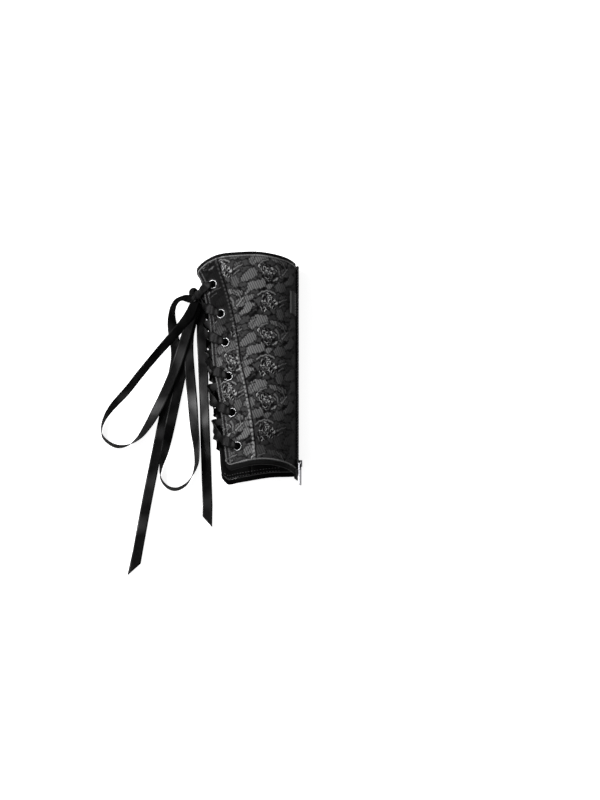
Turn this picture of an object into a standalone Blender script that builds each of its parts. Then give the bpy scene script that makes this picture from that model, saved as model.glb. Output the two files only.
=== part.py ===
# Lace cuff for a forearm, lying on its back panel. It is laced with satin ribbon down its left
# side, zipped down its right side, and the ribbon is tied in a bow at the top of the lacing.
# Metres, +Z up, +Y towards the elbow end, -Y towards the wrist. Table rows are in millimetres.
import functools
import math

import bpy
import numpy as np
from mathutils import Matrix, Vector

MM = 0.001
ORIGIN_SHIFT = (2.1, 10.5, 0.0)        # puts the middle of the cuff's footprint at the origin

# Driving sizes, in millimetres
WALL = 2.0                # lace over satin and lining, quilted flat
BACK_MID_Z = 1.0          # middle of the back wall where it lies on the table
SEAM_GAP = 0.7            # groove between two pieces of cloth
TOP_BINDING = 3.0
HEM_BINDING = 5.0
HEM_CORNER = 6.0          # rounded lower corner beside the lacing
TOP_CORNER = 4.0
RIBBON_THICK = 1.0
RIBBON_WIDE = 10.0
CROSSING_WIDE = 4.6       # the ribbons are gathered where they cross in the gap
CROSSING_APART = 3.5

# Cross-sections from the hem to the elbow end: the lacing edges, the side seam and the arch
SECTION_COLUMNS = ("y", "lace_x", "lace_z", "shoulder", "crown", "seam_x", "back_lace_x")
SECTION_ROWS = (
    (-127, -20.6, 21.5, 12.0, 26.5, 10.0, -23.8),
    (-115, -21.0, 22.0, 12.0, 27.0, 9.3, -26.2),
    (-94, -23.0, 23.0, 12.5, 28.0, 7.4, -28.0),
    (-73, -25.0, 24.0, 13.0, 29.5, 5.2, -30.0),
    (-50, -27.7, 25.0, 13.5, 31.0, 1.6, -32.0),
    (-30, -30.5, 26.0, 14.0, 32.0, -2.0, -34.5),
    (-6, -35.0, 26.5, 14.5, 33.5, -7.2, -37.3),
    (18, -36.8, 27.0, 15.0, 35.0, -10.3, -39.5),
    (42, -39.0, 27.5, 15.5, 36.0, -14.8, -39.5),
    (62, -43.3, 28.0, 16.0, 37.0, -19.5, -41.5),
    (81, -47.3, 28.5, 16.0, 38.0, -25.0, -45.0),
    (92, -52.6, 28.0, 16.5, 38.5, -28.2, -46.0),
    (107, -57.5, 27.5, 17.0, 39.0, -31.5, -47.0),
)
BACK_LACE_Z = 12.0
ZIP_FRONT = Vector((46.6, 18.5))       # section point where the front panel meets the zip
ZIP_BACK = Vector((49.4, 11.3))        # and where the back panel does
ZIP_SLOPE = (ZIP_BACK - ZIP_FRONT).normalized()
BACK_TURN = ((51.6, 5.2), (46.5, BACK_MID_Z), (35.0, BACK_MID_Z))
BACK_RISE = 30.0                       # width of the strip that curls up beside the lacing

# Outlines: share across the panel from the lacing (0) to the zip (1), and y
EDGE_COLUMNS = ("share", "y")
TOP_EDGE = (
    (0, 92.5), (0.08, 98.5), (0.21, 104.8), (0.46, 107.3),
    (0.56, 107.6), (0.78, 105.8), (1, 103.2),
)
FRONT_HEM = ((0, -116.8), (0.5, -113.0), (1, -118.0))
BACK_HEM = (
    (0, -126.6), (0.08, -126.2), (0.22, -122.4), (0.43, -118.6),
    (0.6, -116.4), (0.78, -115.8), (1, -116.5),
)

# Eyelets: centre on the front panel and on the back panel
EYELET_COLUMNS = ("front_x", "y", "back_x")
EYELETS = (
    (-9.6, -92.8, -14.5),
    (-15.0, -58.0, -18.3),
    (-18.8, -20.8, -23.0),
    (-22.0, 14.4, -26.0),
    (-26.5, 44.6, -26.6),
    (-34.8, 75.7, -30.5),
)
EYELET_OUTER = 4.7
EYELET_HOLE = 3.0
EYELET_BARREL = 3.5
EYELET_RISE = 1.1
EYELET_SEAT = 0.6
EYELET_SIDES = 12

# Zip
TAPE_THICK = 1.0
TAPE_FROM, TAPE_TO = -122.8, 101.5
CHAIN_WIDE, CHAIN_THICK = 4.0, 1.7
CHAIN_FROM, CHAIN_TO = -101.8, 99.0
SLIDER_LONG, SLIDER_WIDE, SLIDER_THICK = 8.6, 6.4, 2.4
SLIDER_Y = -106.6
PULL_LONG, PULL_WIDE, PULL_THICK = 22.0, 5.6, 1.2
PULL_WIRE = 1.2
BRIDGE_WIDE, BRIDGE_LONG, BRIDGE_OPEN = 1.8, 6.6, 2.0

# Bow. The knot hangs between the two top eyelets, and the rest lies on the table.
KNOT_AT = (-52.0, 69.6, 7.4)
KNOT_SIZE = (5.0, 4.2, 4.6)
# lean turns the ribbon about its run: 0 lies flat, 90 stands on its edge
ROUTE_COLUMNS = ("x", "y", "z", "lean", "width")
LOOP_LONG = (
    (-54.6, 63.6, 8.2, 8, 7),
    (-58.0, 56.9, 8.4, 15, 9),
    (-65.0, 47.0, 8.0, 28, 10),
    (-76.0, 33.0, 6.8, 40, 10),
    (-88.4, 16.9, 5.4, 50, 10),
    (-107.0, -7.7, 4.9, 55, 10),
    (-122.5, -28.3, 4.9, 56, 10),
    (-129.5, -36.3, 5.0, 60, 10),
    (-136.8, -45.3, 5.3, 68, 10),
    (-142.6, -54.9, 5.5, 80, 10),
    (-145.9, -65.2, 5.6, 88, 10),
    (-145.5, -73.3, 5.6, 90, 10),
    (-139.8, -80.4, 5.6, 91, 10),
    (-130.1, -85.1, 5.6, 90, 10),
    (-120.4, -84.2, 5.5, 80, 10),
    (-109.5, -76.7, 4.9, 58, 10),
    (-100.5, -64.1, 4.2, 36, 10),
    (-90.8, -46.0, 4.4, 14, 10),
    (-85.0, -33.7, 4.6, 8, 10),
    (-75.5, -10.8, 4.9, 5, 10),
    (-70.5, 3.8, 5.1, 4, 10),
    (-66.0, 18.5, 5.3, 4, 10),
    (-60.5, 37.3, 5.6, 4, 10),
    (-56.0, 54.0, 6.0, 4, 9),
    (-53.4, 63.4, 6.4, 4, 7),
)
LOOP_SHORT = (
    (-52.0, 64.4, 3.8, 3, 7),
    (-55.4, 54.9, 2.6, 3, 9),
    (-59.0, 40.4, 1.9, 2, 10),
    (-61.5, 25.7, 1.9, 2, 10),
    (-64.5, 8.8, 1.9, 2, 10),
    (-67.7, -12.2, 2.0, 3, 10),
    (-72.3, -35.3, 2.6, 5, 10),
    (-78.5, -67.2, 3.4, 20, 10),
    (-83.0, -90.8, 4.8, 50, 10),
    (-86.7, -107.9, 5.6, 80, 10),
    (-87.2, -116.4, 5.6, 90, 10),
    (-83.5, -124.0, 5.6, 90, 10),
    (-77.5, -128.8, 5.6, 90, 10),
    (-71.5, -129.8, 5.6, 90, 10),
    (-62.5, -125.8, 5.6, 88, 10),
    (-55.2, -115.8, 5.6, 80, 10),
    (-51.1, -103.6, 5.3, 66, 10),
    (-50.8, -90.9, 4.9, 58, 10),
    (-53.4, -63.0, 3.3, 32, 10),
    (-55.4, -37.4, 2.1, 15, 10),
    (-57.3, -16.4, 2.6, 6, 10),
    (-58.7, 0.1, 3.4, 3, 10),
    (-59.7, 16.8, 3.6, 2, 10),
    (-59.0, 33.6, 3.6, 2, 10),
    (-54.5, 51.4, 4.2, 2, 9),
    (-51.2, 63.6, 5.2, 2, 7),
)
TAIL_LONG = (
    (-57.9, 68.4, 7.8, 30, 6),
    (-62.0, 70.3, 7.2, 62, 7),
    (-67.0, 70.5, 6.4, 80, 9),
    (-72.0, 67.6, 5.6, 76, 10),
    (-75.2, 61.4, 5.2, 64, 10),
    (-76.5, 52.8, 4.3, 48, 10),
    (-76.3, 44.5, 2.4, 22, 10),
    (-75.2, 34.8, 0.9, 3, 10),
    (-73.0, 22.9, 0.6, 0, 10),
    (-72.4, 12.4, 0.6, 0, 10),
    (-74.7, -6.5, 0.6, 0, 10),
    (-81.0, -34.9, 0.6, 0, 10),
    (-85.7, -62.2, 0.6, 0, 10),
    (-90.1, -85.4, 0.6, 0, 10),
    (-100.2, -140.0, 0.6, 0, 10),
    (-109.0, -192.6, 0.6, 0, 10),
)
TAIL_SHORT = (
    (-46.4, 64.6, 2.4, 0, 7),
    (-46.9, 57.1, 1.0, 0, 8.5),
    (-47.0, 43.9, 0.6, 0, 9.5),
    (-46.5, 30.3, 0.6, 0, 10),
    (-45.2, 4.0, 0.6, 0, 10),
    (-43.9, -34.9, 0.6, 0, 10),
    (-41.6, -98.6, 0.6, 0, 10),
    (-40.0, -145.3, 0.6, 0, 10),
)
# Slanted ends of the tails: the corner on the right of the run, then the one on its left
TAIL_LONG_CUT = ((-119.2, -217.8), (-106.0, -205.5))
TAIL_SHORT_CUT = ((-45.1, -156.5), (-35.3, -168.0))
CURL = (
    (-55.7, 72.9, 8.2, 88, 5),
    (-58.0, 76.4, 8.6, 90, 5),
    (-56.4, 79.6, 8.6, 90, 5),
    (-53.2, 79.4, 8.6, 90, 5),
    (-52.0, 76.4, 8.4, 88, 5),
)

# Colour, roughness and metallic value of each material
MATERIALS = {
    "lace": ((0.022, 0.021, 0.022, 1), 0.75, 0.0),
    "satin": ((0.008, 0.008, 0.009, 1), 0.38, 0.0),
    "tape": ((0.010, 0.010, 0.011, 1), 0.85, 0.0),
    "silver": ((0.72, 0.72, 0.73, 1), 0.25, 1.0),
    "dark_metal": ((0.09, 0.09, 0.095, 1), 0.35, 1.0),
}


def clear_scene():
    for old in list(bpy.data.objects):
        bpy.data.objects.remove(old, do_unlink=True)


def make_collection(name):
    made = bpy.data.collections.new(name)
    bpy.context.scene.collection.children.link(made)
    return made


def make_materials():
    made = {}
    for name, (colour, roughness, metallic) in MATERIALS.items():
        material = bpy.data.materials.new(name)
        material.use_nodes = True
        shader = material.node_tree.nodes["Principled BSDF"]
        shader.inputs["Base Color"].default_value = colour
        shader.inputs["Roughness"].default_value = roughness
        shader.inputs["Metallic"].default_value = metallic
        made[name] = material
    return made


def add_object(name, mesh, material):
    obj = bpy.data.objects.new(name, mesh)
    PARTS.objects.link(obj)
    mesh.materials.append(MATERIAL[material])
    return obj


# Smooth curves through table rows

def smooth(places, values, at):
    """Value at a place, on the smooth curve through (places, values)."""
    places, values = np.asarray(places, float), np.asarray(values, float)
    slopes = np.gradient(values, places)
    at = min(max(at, places[0]), places[-1])
    k = min(int(np.searchsorted(places, at, side="right")) - 1, len(places) - 2)
    span = places[k + 1] - places[k]
    t = (at - places[k]) / span
    return float(
        (2 * t**3 - 3 * t**2 + 1) * values[k]
        + (t**3 - 2 * t**2 + t) * span * slopes[k]
        + (3 * t**2 - 2 * t**3) * values[k + 1]
        + (t**3 - t**2) * span * slopes[k + 1]
    )


def table_value(rows, columns, name, at):
    column = columns.index(name)
    return smooth([row[0] for row in rows], [row[column] for row in rows], at)


def bezier(a, b, c, d, steps):
    made = []
    for i in range(steps + 1):
        t = i / steps
        made.append(a * (1 - t)**3 + b * 3 * t * (1 - t)**2 + c * 3 * t**2 * (1 - t) + d * t**3)
    return made


# The cuff's two walls, as the middle of the cloth

@functools.lru_cache(maxsize=None)
def section(side, y):
    """Points (x, z) of one wall's cross-section from the lacing edge to the zip, and their distances."""
    at = {name: table_value(SECTION_ROWS, SECTION_COLUMNS, name, y) for name in SECTION_COLUMNS[1:]}
    if side == "front":
        start = Vector((at["lace_x"], at["lace_z"]))
        wide = ZIP_FRONT.x - start.x
        shoulder = start + Vector((0.3 * wide, at["shoulder"]))
        crown = ZIP_FRONT - at["crown"] * ZIP_SLOPE
        return with_arc(bezier(start, shoulder, crown, ZIP_FRONT, 60))
    start = Vector((at["back_lace_x"], BACK_LACE_Z))
    flat = Vector((start.x + BACK_RISE, BACK_MID_Z))
    rise = bezier(start, start + Vector((9, -5)), flat - Vector((13, 0)), flat, 24)
    turn = bezier(Vector(BACK_TURN[2]), Vector(BACK_TURN[1]), Vector(BACK_TURN[0]), ZIP_BACK, 24)
    return with_arc(rise + turn)


def with_arc(points):
    steps = [(b - a).length for a, b in zip(points[:-1], points[1:])]
    arc = np.concatenate([[0.0], np.cumsum(steps)])
    return np.array([p.x for p in points]), np.array([p.y for p in points]), arc


def wall_point(side, share, y):
    """Point on the middle of a wall, at a share of the way from the lacing edge to the zip."""
    x, z, arc = section(side, round(y, 3))
    at = share * arc[-1]
    return Vector((float(np.interp(at, arc, x)), y, float(np.interp(at, arc, z))))


def share_at(side, x, y):
    places, _, arc = section(side, round(y, 3))
    rising = int(np.argmax(places)) + 1
    return float(np.interp(x, places[:rising], arc[:rising])) / arc[-1]


def wall_normal(side, share, y):
    """Unit normal that points out of the cuff."""
    step = 0.01
    across = wall_point(side, min(share + step, 1), y) - wall_point(side, max(share - step, 0), y)
    along = wall_point(side, share, y + 2) - wall_point(side, share, y - 2)
    normal = across.cross(along).normalized()
    return normal if side == "front" else -normal


def off_wall(side, share, y, lift):
    """Point at a lift above the outer face of a wall, or below its inner face for a negative lift."""
    normal = wall_normal(side, share, y)
    reach = WALL / 2 + lift if lift >= 0 else -WALL / 2 + lift
    return wall_point(side, share, y) + normal * reach


def corner(distance, radius):
    """How far a rounded corner pulls an outline in, at a distance from the side edge."""
    if distance >= radius:
        return 0.0
    return radius * (1 - distance / radius)**2


def edge_y(side, share, end):
    """Outline of a panel at its hem or its top."""
    wide = 105.0 if end == "top" else 75.0
    if end == "top":
        return table_value(TOP_EDGE, EDGE_COLUMNS, "y", share) - corner(share * wide, TOP_CORNER)
    hem = FRONT_HEM if side == "front" else BACK_HEM
    return table_value(hem, EDGE_COLUMNS, "y", share) + corner(share * wide, HEM_CORNER)


def seam_share(side, y):
    lace = table_value(SECTION_ROWS, SECTION_COLUMNS, "lace_x", y)
    seam = table_value(SECTION_ROWS, SECTION_COLUMNS, "seam_x", y)
    if side == "back":
        back_lace = table_value(SECTION_ROWS, SECTION_COLUMNS, "back_lace_x", y)
        seam = back_lace + seam - lace
    return share_at(side, seam, y)


# Cloth pieces: an open sheet with a Solidify modifier

def sheet_object(name, grid, thick, material, offset=0.0):
    """Sheet through a grid of points in millimetres, made solid."""
    rows, columns = len(grid), len(grid[0])
    points = [p * MM for row in grid for p in row]
    faces = []
    for i in range(rows - 1):
        for j in range(columns - 1):
            k = i * columns + j
            faces.append((k, k + 1, k + columns + 1, k + columns))
    mesh = bpy.data.meshes.new(name)
    mesh.from_pydata(points, [], faces)
    mesh.shade_smooth()
    obj = add_object(name, mesh, material)
    solid = obj.modifiers.new("cloth", "SOLIDIFY")
    solid.thickness = thick * MM
    solid.offset = offset
    solid.use_even_offset = True
    return obj


def wall_grid(side, left, right, low, high, columns, rows):
    """Grid on a wall between two seams, left(y) and right(y), and two edges, low(share) and high(share)."""
    grid = []
    for i in range(rows + 1):
        line = []
        for part in columns:
            share = left(0) + (right(0) - left(0)) * part
            for _ in range(4):
                y = low(share) + (high(share) - low(share)) * i / rows
                share = left(y) + (right(y) - left(y)) * part
            line.append(wall_point(side, share, y))
        grid.append(line)
    return grid


def even(count):
    return [i / count for i in range(count + 1)]


def make_panels(side):
    half = SEAM_GAP / 2 / 100

    def lacing_edge(y):
        return 0.0

    def zip_edge(y):
        return 1.0

    def before_seam(y):
        return seam_share(side, y) - half

    def after_seam(y):
        return seam_share(side, y) + half

    def hem(share):
        return edge_y(side, share, "hem")

    def above_hem(share):
        return hem(share) + HEM_BINDING

    def panel_low(share):
        return above_hem(share) + SEAM_GAP

    def top(share):
        return edge_y(side, share, "top")

    def below_top(share):
        return top(share) - TOP_BINDING

    def panel_high(share):
        return below_top(share) - SEAM_GAP

    corner_columns = [0, 0.02, 0.07, 0.16, 0.3, 0.5, 0.7, 0.86, 1]
    grid = wall_grid(side, lacing_edge, before_seam, panel_low, panel_high, corner_columns, 16)
    eyelet_panel = sheet_object(f"{side}_eyelet_panel", grid, WALL, "lace")
    drill_eyelet_holes(side, eyelet_panel)
    grid = wall_grid(side, after_seam, zip_edge, panel_low, panel_high, even(12), 16)
    sheet_object(f"{side}_main_panel", grid, WALL, "lace")
    edge_columns = [0, 0.006, 0.02, 0.048, 0.09] + [0.16 + 0.84 * i / 12 for i in range(13)]
    grid = wall_grid(side, lacing_edge, zip_edge, hem, above_hem, edge_columns, 1)
    sheet_object(f"{side}_hem_binding", grid, WALL, "lace")
    grid = wall_grid(side, lacing_edge, zip_edge, below_top, top, edge_columns, 1)
    sheet_object(f"{side}_top_binding", grid, WALL, "lace")


# Eyelets: a turned ring through the cloth, with a flange on each face

def frame_at(point, normal, up=Vector((0, 1, 0))):
    """Matrix whose local Z is the normal and whose local Y runs along the cuff."""
    z = normal.normalized()
    x = up.cross(z).normalized()
    y = z.cross(x)
    turn = Matrix((x, y, z)).transposed().to_4x4()
    return Matrix.Translation(point * MM) @ turn


def eyelet_mesh():
    top = WALL / 2 + EYELET_SEAT
    profile = (
        (EYELET_HOLE, top + EYELET_RISE * 0.6),
        (EYELET_HOLE + 0.6, top + EYELET_RISE),
        (EYELET_OUTER - 0.4, top + EYELET_RISE * 0.75),
        (EYELET_OUTER, top),
        (EYELET_BARREL, top),
        (EYELET_BARREL, -top),
        (EYELET_OUTER - 0.3, -top),
        (EYELET_OUTER - 0.3, -top - 0.5),
        (EYELET_HOLE, -top - 0.5),
    )
    mesh = bpy.data.meshes.new("eyelet")
    count = len(profile)
    edges = [(i, (i + 1) % count) for i in range(count)]
    mesh.from_pydata([(r * MM, 0, z * MM) for r, z in profile], edges, [])
    mesh.materials.append(MATERIAL["silver"])
    return mesh


def make_eyelets(side):
    shared = eyelet_mesh()
    for number, row in enumerate(reversed(EYELETS), start=1):
        share, y = eyelet_place(side, row)
        obj = bpy.data.objects.new(f"{side}_eyelet_{number}", shared)
        PARTS.objects.link(obj)
        obj.matrix_world = frame_at(wall_point(side, share, y), wall_normal(side, share, y))
        turned = obj.modifiers.new("turned", "SCREW")
        turned.axis = "Z"
        turned.angle = math.tau
        turned.steps = EYELET_SIDES
        turned.render_steps = EYELET_SIDES
        turned.use_merge_vertices = True
        turned.merge_threshold = 0.00005
        turned.use_normal_calculate = False


def eyelet_place(side, row):
    x = row[EYELET_COLUMNS.index(f"{side}_x")]
    y = row[EYELET_COLUMNS.index("y")]
    return share_at(side, x, y), y


def drill_eyelet_holes(side, panel):
    hole_radius = EYELET_BARREL + 0.4
    for number, row in enumerate(reversed(EYELETS), start=1):
        share, y = eyelet_place(side, row)
        bpy.ops.mesh.primitive_cylinder_add(vertices=12, radius=hole_radius * MM, depth=8 * MM)
        drill = bpy.context.object
        drill.name = f"{side}_hole_{number}"
        drill.matrix_world = frame_at(wall_point(side, share, y), wall_normal(side, share, y))
        for user in list(drill.users_collection):
            user.objects.unlink(drill)
        CUTTERS.objects.link(drill)
        drill.hide_render = True
        drill.display_type = "WIRE"
        cut = panel.modifiers.new(drill.name, "BOOLEAN")
        cut.operation = "DIFFERENCE"
        cut.solver = "EXACT"
        cut.object = drill


# Ribbons

def smooth_rows(rows, spacing):
    """Rows of a route table, read off at an even spacing along the smooth curve through them."""
    rows = [tuple(float(v) for v in row) for row in rows]
    steps = [math.dist(a[:3], b[:3]) for a, b in zip(rows[:-1], rows[1:])]
    along = np.concatenate([[0.0], np.cumsum(steps)])
    count = max(2, round(along[-1] / spacing))
    places = [along[-1] * i / count for i in range(count + 1)]
    return [[smooth(along, [row[c] for row in rows], at) for c in range(len(rows[0]))] for at in places]


def run_direction(points, i):
    return (points[min(i + 1, len(points) - 1)] - points[max(i - 1, 0)]).normalized()


def lying_ribbon(name, rows, cut=None, spacing=6.0):
    """Ribbon on the table. It leans about its run and may end in a slanted cut."""
    read = smooth_rows(rows, spacing)
    points = [Vector(row[:3]) for row in read]
    grid = []
    for i, row in enumerate(read):
        side = run_direction(points, i).cross(Vector((0, 0, 1))).normalized()
        lean = math.radians(row[ROUTE_COLUMNS.index("lean")])
        wide = side * math.cos(lean) + Vector((0, 0, 1)) * math.sin(lean)
        half = wide * row[ROUTE_COLUMNS.index("width")] / 2
        grid.append([points[i] - half, points[i], points[i] + half])
    if cut:
        right, left = (Vector((x, y, points[-1].z)) for x, y in cut)
        grid.append([left, (left + right) / 2, right])
    return sheet_object(name, grid, RIBBON_THICK, "satin")


def laced_ribbon(name, rows, spacing=3.8):
    """Ribbon of the lacing: its width runs along the lacing edge."""
    read = smooth_rows(rows, spacing)
    points = [Vector(row[:3]) for row in read]
    grid = []
    for i, row in enumerate(read):
        run = run_direction(points, i)
        edge_step = wall_point("front", 0.0, row[1] + 4) - wall_point("front", 0.0, row[1] - 4)
        along = edge_step.normalized()
        wide = (along - run * along.dot(run)).normalized()
        grid.append([points[i] - wide * row[3] / 2, points[i] + wide * row[3] / 2])
    return sheet_object(name, grid, RIBBON_THICK, "satin")


def row_at(point, width):
    return (*point, width)


def front_eyelet_out(row):
    """Out of a front eyelet, over the ring and round the front lacing edge."""
    share, y = eyelet_place("front", row)
    centre = wall_point("front", share, y)
    normal = wall_normal("front", share, y)
    edge = wall_point("front", 0.0, y + 8.5)
    return [
        row_at(centre + normal * 0.4, 3.2),
        row_at(centre + normal * 3.4 + Vector((-0.8, 0.2, 0)), 4.0),
        row_at(off_wall("front", share * 0.66, y + 2.2, 2.9), 7.0),
        row_at(off_wall("front", share * 0.4, y + 5.0, 2.0), 9.0),
        row_at(off_wall("front", share * 0.12, y + 7.4, 1.6), RIBBON_WIDE),
        row_at(edge + Vector((-2.0, 0.6, 0.8)), RIBBON_WIDE),
    ]


def back_eyelet_in(row):
    """Over the inner face of the back panel and into a back eyelet."""
    share, y = eyelet_place("back", row)
    centre = wall_point("back", share, y)
    normal = wall_normal("back", share, y)
    edge = wall_point("back", 0.0, y - 8.5)
    return [
        row_at(edge + Vector((2.2, 0, 2.6)), 8.0),
        row_at(off_wall("back", share * 0.4, y - 5.0, -1.6), 8.5),
        row_at(off_wall("back", share * 0.72, y - 2.0, -2.4), 6.0),
        row_at(centre - normal * 3.7 + Vector((-0.6, -0.2, 0)), 3.8),
        row_at(centre - normal * 1.2, 3.2),
    ]


def back_eyelet_out(row):
    """Out of a back eyelet on the underside and round the back lacing edge."""
    share, y = eyelet_place("back", row)
    centre = wall_point("back", share, y)
    normal = wall_normal("back", share, y)
    edge = wall_point("back", 0.0, y + 8.5)
    return [
        row_at(centre + normal * 0.4, 3.2),
        row_at(centre + normal * 3.2 + Vector((-0.8, 0.2, 0)), 4.0),
        row_at(off_wall("back", share * 0.64, y + 2.5, 2.8), 6.0),
        row_at(off_wall("back", share * 0.3, y + 5.5, 1.7), 8.0),
        row_at(edge + Vector((-1.8, -0.6, -1.6)), 8.5),
        row_at(edge + Vector((-2.4, 1.0, 2.2)), 8.0),
    ]


def front_eyelet_in(row):
    """Up the inner face of the front panel and into a front eyelet."""
    share, y = eyelet_place("front", row)
    centre = wall_point("front", share, y)
    normal = wall_normal("front", share, y)
    edge = wall_point("front", 0.0, y - 8.5)
    return [
        row_at(edge + Vector((2.4, 0, -3.1)), 8.0),
        row_at(off_wall("front", share * 0.42, y - 5.0, -2.1), 8.5),
        row_at(off_wall("front", share * 0.72, y - 2.0, -2.4), 6.0),
        row_at(centre - normal * 3.7 + Vector((-0.6, -0.2, 0)), 3.8),
        row_at(centre - normal * 1.2, 3.2),
    ]


def make_lacing():
    """Two ribbons that cross in the gap: each goes over one edge and under the other."""
    rows = list(reversed(EYELETS))
    for number in range(2, len(rows) + 1):
        here, above = rows[number - 1], rows[number - 2]
        down = front_eyelet_out(here) + [None] + back_eyelet_in(above)
        up = back_eyelet_out(here) + [None] + front_eyelet_in(above)
        for name, run, shift in (("over", down, -CROSSING_APART), ("under", up, CROSSING_APART)):
            k = run.index(None)
            middle = (Vector(run[k - 1][:3]) + Vector(run[k + 1][:3])) / 2 + Vector((shift, 0, 0))
            run[k] = row_at(middle, CROSSING_WIDE)
            laced_ribbon(f"lacing_{name}_{number}", run)
    last = rows[-1]
    share, y = eyelet_place("front", last)
    top, top_normal = wall_point("front", share, y), wall_normal("front", share, y)
    share, y = eyelet_place("back", last)
    low, low_normal = wall_point("back", share, y), wall_normal("back", share, y)
    bar = [
        row_at(top - top_normal * 0.9, 3.2),
        row_at(top - top_normal * 4.0, 4.4),
        row_at((top + low) / 2, 8.0),
        row_at(low - low_normal * 4.0, 4.4),
        row_at(low - low_normal * 0.9, 3.2),
    ]
    laced_ribbon("lacing_bottom_bar", bar)
    first = rows[0]
    share, y = eyelet_place("front", first)
    top, top_normal = wall_point("front", share, y), wall_normal("front", share, y)
    knot = Vector(KNOT_AT)
    strand = [
        row_at(top + top_normal * 0.4, 3.2),
        row_at(top + top_normal * 3.4 + Vector((-0.8, -0.2, 0)), 4.0),
        row_at(off_wall("front", share * 0.6, y - 1.5, 3.0), 6.5),
        row_at(wall_point("front", 0.0, y - 4.5) + Vector((-1.0, 0, 3.2)), 7.5),
        row_at(wall_point("front", 0.0, y - 5.5) + Vector((-4.0, -0.6, -5.0)), 7.5),
        row_at(knot + Vector((-0.5, 0.2, KNOT_SIZE[2] + 5.0)), 7.0),
        row_at(knot + Vector((-1.0, 0, KNOT_SIZE[2] + 0.9)), 6.5),
    ]
    laced_ribbon("front_top_strand", strand)
    tie = back_eyelet_out(first)[:-2]
    edge = wall_point("back", 0.0, first[1])
    tie += [
        row_at(edge + Vector((-1.6, 1.0, -1.8)), 7.5),
        row_at(edge + Vector((-2.4, -1.0, 1.0)), 7.0),
    ]
    laced_ribbon("back_top_strand", tie)


def make_bow():
    bpy.ops.mesh.primitive_uv_sphere_add(segments=14, ring_count=9, radius=1.0)
    knot = bpy.context.object
    knot.name = "bow_knot"
    for user in list(knot.users_collection):
        user.objects.unlink(knot)
    PARTS.objects.link(knot)
    knot.data.materials.append(MATERIAL["satin"])
    knot.data.transform(Matrix.Diagonal(Vector(KNOT_SIZE) * MM).to_4x4())
    knot.location = Vector(KNOT_AT) * MM
    lying_ribbon("bow_loop_long", LOOP_LONG)
    lying_ribbon("bow_loop_short", LOOP_SHORT)
    lying_ribbon("bow_tail_long", TAIL_LONG, TAIL_LONG_CUT)
    lying_ribbon("bow_tail_short", TAIL_SHORT, TAIL_SHORT_CUT)
    lying_ribbon("knot_curl", CURL, spacing=2.0)


# Zip: its own frame has local X along the cuff, local Y down the wall and local Z outwards

def zip_matrix(y, out):
    middle = (ZIP_FRONT + ZIP_BACK) / 2
    down = Vector((ZIP_SLOPE.x, 0, ZIP_SLOPE.y))
    along = Vector((0, 1, 0))
    outward = along.cross(down).normalized()
    if outward.x < 0:
        outward = -outward
    side = outward.cross(along)
    turn = Matrix((along, side, outward)).transposed().to_4x4()
    place = Vector((middle.x, y, middle.y)) + outward * out
    return Matrix.Translation(place * MM) @ turn


def zip_box(name, size, y, out, material, bevel=0.0):
    """Block on the zip: size along the cuff, down the wall and outwards."""
    bpy.ops.mesh.primitive_cube_add(size=1.0)
    obj = bpy.context.object
    obj.name = name
    for user in list(obj.users_collection):
        user.objects.unlink(obj)
    PARTS.objects.link(obj)
    obj.data.transform(Matrix.Diagonal(Vector(size) * MM).to_4x4())
    obj.data.materials.append(MATERIAL[material])
    obj.matrix_world = zip_matrix(y, out)
    if bevel:
        rounding = obj.modifiers.new("rounding", "BEVEL")
        rounding.width = bevel * MM
        rounding.segments = 2
    return obj


def join_block(body, size, y, out, aside=0.0):
    """Adds a block to a piece with a Boolean union, moved aside down the wall."""
    bpy.ops.mesh.primitive_cube_add(size=1.0)
    block = bpy.context.object
    block.name = f"{body.name}_block_{len(body.modifiers)}"
    for user in list(block.users_collection):
        user.objects.unlink(block)
    CUTTERS.objects.link(block)
    block.data.transform(Matrix.Diagonal(Vector(size) * MM).to_4x4())
    block.data.transform(Matrix.Translation(Vector((0, aside, 0)) * MM))
    block.matrix_world = zip_matrix(y, out)
    block.hide_render = True
    block.display_type = "WIRE"
    union = body.modifiers.new(block.name, "BOOLEAN")
    union.operation = "UNION"
    union.solver = "EXACT"
    union.object = block


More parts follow.
